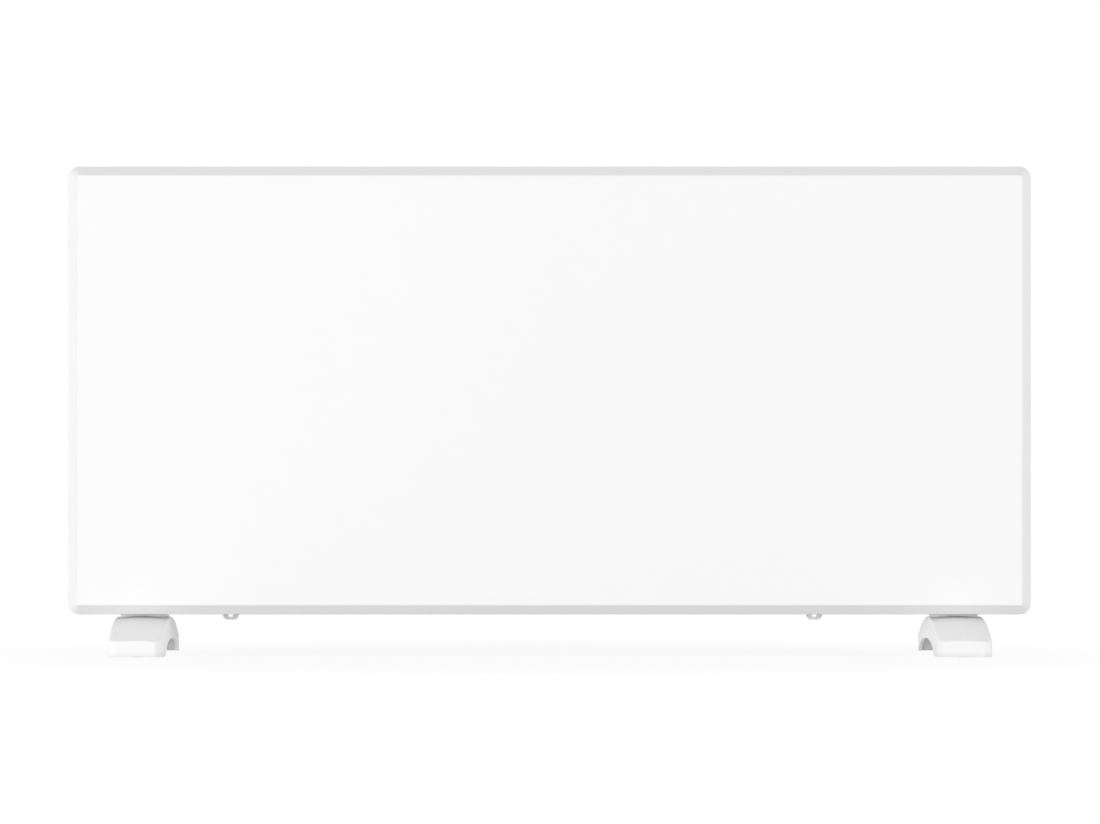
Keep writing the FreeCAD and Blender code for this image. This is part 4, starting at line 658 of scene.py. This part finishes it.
# %% The frame's section
FRONT, FRAME_BACK, SEAT_FRONT, SEAT_BACK, WEB_FRONT = -40.0, -16.0, -35.0, -26.8, -18.0   # places on Y
BEVEL, RIM, WALL, SEAT_REACH, WEB_REACH = 8.2, 0.5, 2.0, 22.7, 40.0                       # insets
EDGE_ROUND, RIM_ROUND, RIM_DROP = 1.6, 1.15, 0.03
BACK_ROUND, BACK_MIDDLE = 0.3, 0.09
OUTER_CORNER, SEAT_CORNER, WEB_CORNER = 10.2, 1.5, 6.0
POCKET = BEVEL + RIM
tangent = math.tan(math.radians(22.5))   # of half the slope's angle

section = [(BACK_ROUND, FRAME_BACK), (BACK_MIDDLE, FRAME_BACK - BACK_MIDDLE)]
section += [(0.0, FRAME_BACK - BACK_ROUND)]
section += rounding((EDGE_ROUND, FRONT + BEVEL + EDGE_ROUND * tangent), EDGE_ROUND, 180, 225, 6)
section += rounding((BEVEL + RIM_ROUND * tangent, FRONT + RIM_ROUND), RIM_ROUND, 225, 270, 5)
section += [(POCKET, FRONT + RIM_DROP), (POCKET, SEAT_FRONT), (SEAT_REACH, SEAT_FRONT)]
section += [(SEAT_REACH, SEAT_BACK), (WALL, SEAT_BACK), (WALL, WEB_FRONT)]
section += [(WEB_REACH, WEB_FRONT), (WEB_REACH, FRAME_BACK)]
corner_of = {SEAT_REACH: SEAT_CORNER, WEB_REACH: WEB_CORNER}
loops = [panel_loop(d, y, corner_of.get(d, OUTER_CORNER - d)) for d, y in section]
frame_piece = stand_in("bevelled_frame", lofted("bevelled_frame", loops, True), ["front_frame"])
print("frame section points:", len(section), "faces:", len(frame_piece.data.polygons))

# %% The glass
SEAM, ARRIS, GLASS_BACK = 0.03, 0.04, -36.0
edge = POCKET + SEAM
slab = [(edge, GLASS_BACK), (edge, FRONT + ARRIS), (edge + ARRIS, FRONT)]
loops = [panel_loop(d, y, OUTER_CORNER - d) for d, y in slab]
glass_piece = stand_in("glass_front", lofted("glass_front", loops, False), ["front_glass"])
print("glass faces:", len(glass_piece.data.polygons))

# %% [markdown]
# ## Screws by Geometry Nodes
# The casing is held by eight pan-head screws with a cross recess, the feet by four larger
# ones from below. Modelling each would be slow to change, so one screw is turned once, and
# a node tree stands copies of it on a grid of points.

# %% Turn one screw
ROUND_STEPS = 32
CROWN_RINGS = (0.12, 0.25, 0.38, 0.5, 0.62, 0.75, 0.88, 0.96)   # shares of the head's radius
CROWN_FALL, BRIM = 0.42, 0.40                                   # shares of the head's height
RECESS_ARM, RECESS_DEPTH = 0.28, 0.55
PITCH, THREAD_ROOT, TIP = 0.35, 0.82, 0.4                       # shares of the shank's radius


def screw_outline(head_radius, head_height, shank_radius, length):
    """Radius and rise of each ring of a screw, from the crown down to the tip."""
    outline = [(head_radius * s, head_height * (1 - CROWN_FALL * s**4)) for s in CROWN_RINGS]
    outline += [(head_radius, head_height * BRIM), (head_radius, 0.0), (shank_radius, 0.0)]
    pitch = PITCH * shank_radius
    for i in range(int(length / pitch / 2) - 1):
        outline += [(shank_radius * THREAD_ROOT, -pitch * (2 * i + 1))]
        outline += [(shank_radius, -pitch * (2 * i + 2))]
    return outline + [(shank_radius * TIP, -length)]


def turned_screw(name, head_radius, head_height, shank_radius, length, recess):
    """A screw along +Z with its head's seat at 0 and its shank below, recess in its crown."""
    loops = []
    for radius, rise in screw_outline(head_radius, head_height, shank_radius, length):
        loop = []
        for k in range(ROUND_STEPS):
            turn = 2 * math.pi * k / ROUND_STEPS
            x, y = radius * math.cos(turn), radius * math.sin(turn)
            narrow, wide = sorted((abs(x), abs(y)))
            in_crown = rise > head_height * 0.5
            sunk = in_crown and narrow < recess * RECESS_ARM and wide < recess
            drop = head_height * RECESS_DEPTH if sunk else 0
            loop.append(Vector((x, y, rise - drop)) * MM)
        loops.append(loop)
    return bpy.data.objects.new(name, lofted(name, loops, False))


# %% A tree that stands copies on a grid
def screw_tree():
    """Screws on a grid of points in the XY plane, turned and moved to their place."""
    tree = bpy.data.node_groups.new("screws_on_a_grid", "GeometryNodeTree")
    face = tree.interface
    face.new_socket("Geometry", in_out="INPUT", socket_type="NodeSocketGeometry")
    for label, kind in (
        ("Screw", "Object"), ("Columns", "Int"), ("Rows", "Int"), ("Width", "Float"), ("Height", "Float"),
        ("Turn", "Vector"), ("Screw turn", "Vector"), ("Middle", "Vector"), ("Finish", "Material"),
    ):
        face.new_socket(label, in_out="INPUT", socket_type="NodeSocket" + kind)
    face.new_socket("Geometry", in_out="OUTPUT", socket_type="NodeSocketGeometry")
    given, made = tree.nodes.new("NodeGroupInput"), tree.nodes.new("NodeGroupOutput")
    step = Recipe(tree)
    size = {"Size X": given.outputs["Width"], "Size Y": given.outputs["Height"]}
    count = {"Vertices X": given.outputs["Columns"], "Vertices Y": given.outputs["Rows"]}
    grid = step.add("GeometryNodeMeshGrid", {}, {**size, **count})
    pose = {"Rotation": given.outputs["Turn"], "Translation": given.outputs["Middle"]}
    placed = step.add("GeometryNodeTransform", {}, {"Geometry": grid.outputs[0], **pose})
    screw = step.add("GeometryNodeObjectInfo", {}, {"Object": given.outputs["Screw"]})
    copies = step.add("GeometryNodeInstanceOnPoints", {}, {
        "Points": placed.outputs[0],
        "Instance": screw.outputs["Geometry"],
        "Rotation": given.outputs["Screw turn"],
    })
    real = step.add("GeometryNodeRealizeInstances", {}, {0: copies.outputs[0]})
    coat = {"Geometry": real.outputs[0], "Material": given.outputs["Finish"]}
    done = step.add("GeometryNodeSetMaterial", {}, coat)
    tree.links.new(done.outputs[0], made.inputs[0])
    return tree


def baked(name, tree, values):
    """The plain mesh that a tree makes with these inputs."""
    holder = bpy.data.objects.new(name, bpy.data.meshes.new(name))
    bpy.context.scene.collection.objects.link(holder)
    maker = holder.modifiers.new("maker", "NODES")
    maker.node_group = tree
    keys = {s.name: s.identifier for s in tree.interface.items_tree if s.in_out == "INPUT"}
    for label, value in values.items():
        maker[keys[label]] = value
    graph = bpy.context.evaluated_depsgraph_get()
    mesh = bpy.data.meshes.new_from_object(holder.evaluated_get(graph))
    bpy.data.objects.remove(holder)
    mesh.name = name
    return mesh


# %% Screw the casing and the feet
screws = screw_tree()
CASING_HEAD = {"head_radius": 3.2, "head_height": 2.2, "shank_radius": 1.7, "recess": 1.9}
FOOT_HEAD = {"head_radius": 4.0, "head_height": 2.8, "shank_radius": 2.0, "recess": 2.5}
CASING_LENGTH = 9.0
casing_screw = turned_screw("casing_screw", length=CASING_LENGTH, **CASING_HEAD)
foot_low, foot_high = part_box("foot_screws")
foot_seat = foot_low.z + FOOT_HEAD["head_height"] * MM
foot_screw = turned_screw("foot_screw", length=(foot_high.z - foot_seat) / MM, **FOOT_HEAD)
QUARTER_TURN = math.pi / 2

mesh = baked("casing_screws_turned", screws, {
    "Screw": casing_screw, "Columns": 2, "Rows": 4, "Width": 0.841, "Height": 0.334,
    "Turn": (QUARTER_TURN, 0.0, 0.0), "Screw turn": (-QUARTER_TURN, 0.0, 0.0),
    "Middle": (0.0, -0.015, 0.2365), "Finish": finishes["screw_steel"],
})
piece = stand_in("casing_screws_turned", mesh, ["casing_screws"])
print(piece.name, len(mesh.polygons), "faces", [round(v, 4) for v in mesh.vertices[0].co])

mesh = baked("foot_screws_turned", screws, {
    "Screw": foot_screw, "Columns": 2, "Rows": 2, "Width": 0.729, "Height": 0.030,
    "Turn": (0.0, 0.0, 0.0), "Screw turn": (math.pi, 0.0, 0.0),
    "Middle": (0.0, (foot_low.y + foot_high.y) / 2, foot_seat), "Finish": finishes["screw_steel"],
})
piece = stand_in("foot_screws_turned", mesh, ["foot_screws"])
print(piece.name, len(mesh.polygons), "faces")

# %% [markdown]
# ## Marks on the control plate
# The thermostat has a printed scale: short bars round the knob and plain numbers. Bars
# repeat along an arc, so a node tree sets them out from a count, a radius and a sweep.
# The numbers are text made into a mesh.

# %% Grey and white ink
def printing_ink(name, thin, thick, rough):
    """Ink that lies a little unevenly on the plastic."""
    ink = Finish(name)
    patch = ink.grain(900.0, 3.0)
    tone = ink.blend(patch, grey(thin), grey(thick))
    return ink.apply(tone, rough + patch * 0.2, patch, depth=0.00002, strength=0.3)


ink_finish = printing_ink("grey_ink", thin=0.07, thick=0.12, rough=0.5)
chalk_finish = printing_ink("white_ink", thin=0.70, thick=0.80, rough=0.45)

knob_low, knob_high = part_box("thermostat_knob")
KNOB = (knob_low + knob_high) / 2
PLATE_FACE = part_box("control_panel")[1].x
print("plate face", round(PLATE_FACE, 5), "knob", [round(v, 5) for v in KNOB])

# %% Bars on an arc
BAR_STEPS = 16


def flat_bar(name, long, wide, thick):
    """A printed bar with round ends: its length on Y, its thickness on X."""
    half = long / 2 - wide / 2
    outline = []
    for k in range(BAR_STEPS):
        turn = 2 * math.pi * (k + 0.5) / BAR_STEPS
        shift = half if math.cos(turn) > 0 else -half
        outline.append((shift + wide / 2 * math.cos(turn), wide / 2 * math.sin(turn)))
    loops = [[(lift, y, z) for y, z in outline] for lift in (0, thick)]
    return bpy.data.objects.new(name, lofted(name, loops, False))


def scale_tree():
    """Bars on an arc in the YZ plane, each turned to point at the middle."""
    tree = bpy.data.node_groups.new("bars_on_an_arc", "GeometryNodeTree")
    face = tree.interface
    face.new_socket("Geometry", in_out="INPUT", socket_type="NodeSocketGeometry")
    for label, kind in (
        ("Bar", "Object"), ("Count", "Int"), ("Radius", "Float"), ("Start", "Float"), ("Sweep", "Float"),
        ("Middle", "Vector"), ("Finish", "Material"),
    ):
        face.new_socket(label, in_out="INPUT", socket_type="NodeSocket" + kind)
    face.new_socket("Geometry", in_out="OUTPUT", socket_type="NodeSocketGeometry")
    given, made = tree.nodes.new("NodeGroupInput"), tree.nodes.new("NodeGroupOutput")
    step = Recipe(tree)
    row = step.add("GeometryNodeMeshLine", {}, {"Count": given.outputs["Count"]})
    index = step.amount(step.add("GeometryNodeInputIndex"))
    last = step.amount(given, "Count") - 1
    turn = step.amount(given, "Start") - step.amount(given, "Sweep") * index / last
    radius = step.amount(given, "Radius")
    cosine = step.amount(step.add("ShaderNodeMath", {"operation": "COSINE"}, {0: turn}))
    sine = step.amount(step.add("ShaderNodeMath", {"operation": "SINE"}, {0: turn}))
    spot = step.add("ShaderNodeCombineXYZ", {}, {"Y": radius * cosine, "Z": radius * sine})
    spread = {"Geometry": row.outputs[0], "Position": spot.outputs[0]}
    set_out = step.add("GeometryNodeSetPosition", {}, spread)
    lean = step.add("ShaderNodeCombineXYZ", {}, {"X": turn})
    bar = step.add("GeometryNodeObjectInfo", {}, {"Object": given.outputs["Bar"]})
    copies = step.add("GeometryNodeInstanceOnPoints", {}, {
        "Points": set_out.outputs[0], "Instance": bar.outputs["Geometry"], "Rotation": lean.outputs[0],
    })
    real = step.add("GeometryNodeRealizeInstances", {}, {0: copies.outputs[0]})
    place = {"Geometry": real.outputs[0], "Translation": given.outputs["Middle"]}
    moved = step.add("GeometryNodeTransform", {}, place)
    coat = {"Geometry": moved.outputs[0], "Material": given.outputs["Finish"]}
    done = step.add("GeometryNodeSetMaterial", {}, coat)
    tree.links.new(done.outputs[0], made.inputs[0])
    return tree


# %% Print the bars
INK_THICK = 0.00005
INK_SUNK = INK_THICK / 3   # so that no gap is left under the print
SCALE_START, SCALE_SWEEP = math.radians(225), math.radians(270)


def mark(piece, body):
    """Adds a printed piece to the scene, on its body."""
    bpy.context.scene.collection.objects.link(piece)
    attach(piece, body)


dial_bar = flat_bar("dial_bar", long=0.0016, wide=0.0005, thick=INK_THICK)
bars = baked("dial_bars", scale_tree(), {
    "Bar": dial_bar, "Count": 11, "Radius": 0.0179,
    "Start": SCALE_START, "Sweep": SCALE_SWEEP,
    "Middle": (PLATE_FACE - INK_SUNK, KNOB.y, KNOB.z), "Finish": ink_finish,
})
mark(bpy.data.objects.new("dial_bars", bars), "heater")
print("dial bars:", len(bars.polygons), "faces")

# %% Numbers round the scale
FACING_RIGHT = Matrix(((0, 0, 1), (1, 0, 0), (0, 1, 0)))


def printed_number(word, place, size, finish):
    """A number printed on the plate, read from the right-hand end."""
    curve = bpy.data.curves.new("number", "FONT")
    curve.body = word
    curve.size = size
    curve.align_x = "CENTER"
    curve.align_y = "CENTER"
    curve.extrude = INK_THICK / 2
    holder = bpy.data.objects.new("number", curve)
    bpy.context.scene.collection.objects.link(holder)
    graph = bpy.context.evaluated_depsgraph_get()
    mesh = bpy.data.meshes.new_from_object(holder.evaluated_get(graph))
    bpy.data.objects.remove(holder)
    mesh.transform(Matrix.Translation(place) @ FACING_RIGHT.to_4x4())
    mesh.materials.clear()
    mesh.materials.append(finish)
    return mesh


def round_knob(x, radius, turn):
    """A point at this depth, radius and turn about the knob's axis."""
    return Vector((x, KNOB.y + radius * math.cos(turn), KNOB.z + radius * math.sin(turn)))


NUMBERS, NUMBER_RADIUS, NUMBER_SIZE = 6, 0.0207, 0.0031
for i in range(NUMBERS):
    turn = SCALE_START - SCALE_SWEEP * i / (NUMBERS - 1)
    spot = round_knob(PLATE_FACE, NUMBER_RADIUS, turn)
    mesh = printed_number(str(i + 1), spot, NUMBER_SIZE, ink_finish)
    mark(bpy.data.objects.new(f"dial_number_{i + 1}", mesh), "heater")
print("numbers:", NUMBERS)

# %% [markdown]
# ## Pointer and switch marks
# The groove in the knob is filled with grey paint, and each rocker has a bar and a ring, the
# plain signs for on and off. The signs have to lie on the slanted rocker faces, so a ray is
# sent at the solid and the sign is laid on the face that it meets.

# %% Fill the pointer groove
POINTER_RADIUS, POINTER_SUNK = 0.0068, 0.00058
pointer_bar = flat_bar("pointer_fill", long=0.0082, wide=0.00145, thick=0.0003)
spot = round_knob(knob_high.x - POINTER_SUNK, POINTER_RADIUS, SCALE_START)
pointer_bar.data.transform(Matrix.Translation(spot) @ Matrix.Rotation(SCALE_START, 4, "X"))
pointer_bar.data.materials.append(ink_finish)
mark(pointer_bar, "thermostat_dial")
print("pointer", [round(v, 4) for v in spot])

# %% Lay a sign on a face
RAY_START = 0.6   # metres, well to the right of the heater


def laid_on(node, across, height):
    """The point and the upward frame of the node's face that a ray from the right meets."""
    mesh = frame["nodes"][node].data
    points = [v.co for v in mesh.vertices]
    tree = BVHTree.FromPolygons(points, [p.vertices for p in mesh.polygons])
    spot, normal, _, _ = tree.ray_cast(Vector((RAY_START, across, height)), Vector((-1, 0, 0)))
    side = Vector((0, 1, 0))
    rise = normal.cross(side).normalized()
    turn = Matrix((normal, side, rise)).transposed()
    return Matrix.Translation(spot - normal * INK_SUNK) @ turn.to_4x4()


def ring_sign(name, radius, stroke):
    """A flat printed ring in the YZ plane."""
    turns = [2 * math.pi * k / ROUND_STEPS for k in range(ROUND_STEPS)]
    inner = radius - stroke
    outline = [(radius, 0), (radius, INK_THICK), (inner, INK_THICK), (inner, 0)]
    loops = [[(lift, r * math.cos(t), r * math.sin(t)) for t in turns] for r, lift in outline]
    return bpy.data.objects.new(name, lofted(name, loops, True))


# %% Signs on the rockers
SIGN_RISE = 0.0062   # metres from the rocker's middle

for level in ("upper", "lower"):
    node = f"heat_rocker_{level}"
    low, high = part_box(node)
    middle = (low + high) / 2
    bar = flat_bar(f"{level}_rocker_on_sign", long=0.0034, wide=0.0005, thick=INK_THICK)
    bar.data.transform(Matrix.Rotation(QUARTER_TURN, 4, "X"))
    ring = ring_sign(f"{level}_rocker_off_sign", radius=0.0016, stroke=0.00045)
    for sign, rise in ((bar, SIGN_RISE), (ring, -SIGN_RISE)):
        sign.data.transform(laid_on(node, middle.y, middle.z + rise))
        sign.data.materials.append(chalk_finish)
        mark(sign, f"{level}_rocker")
        print(sign.name, [round(v, 4) for v in sign.data.vertices[0].co])
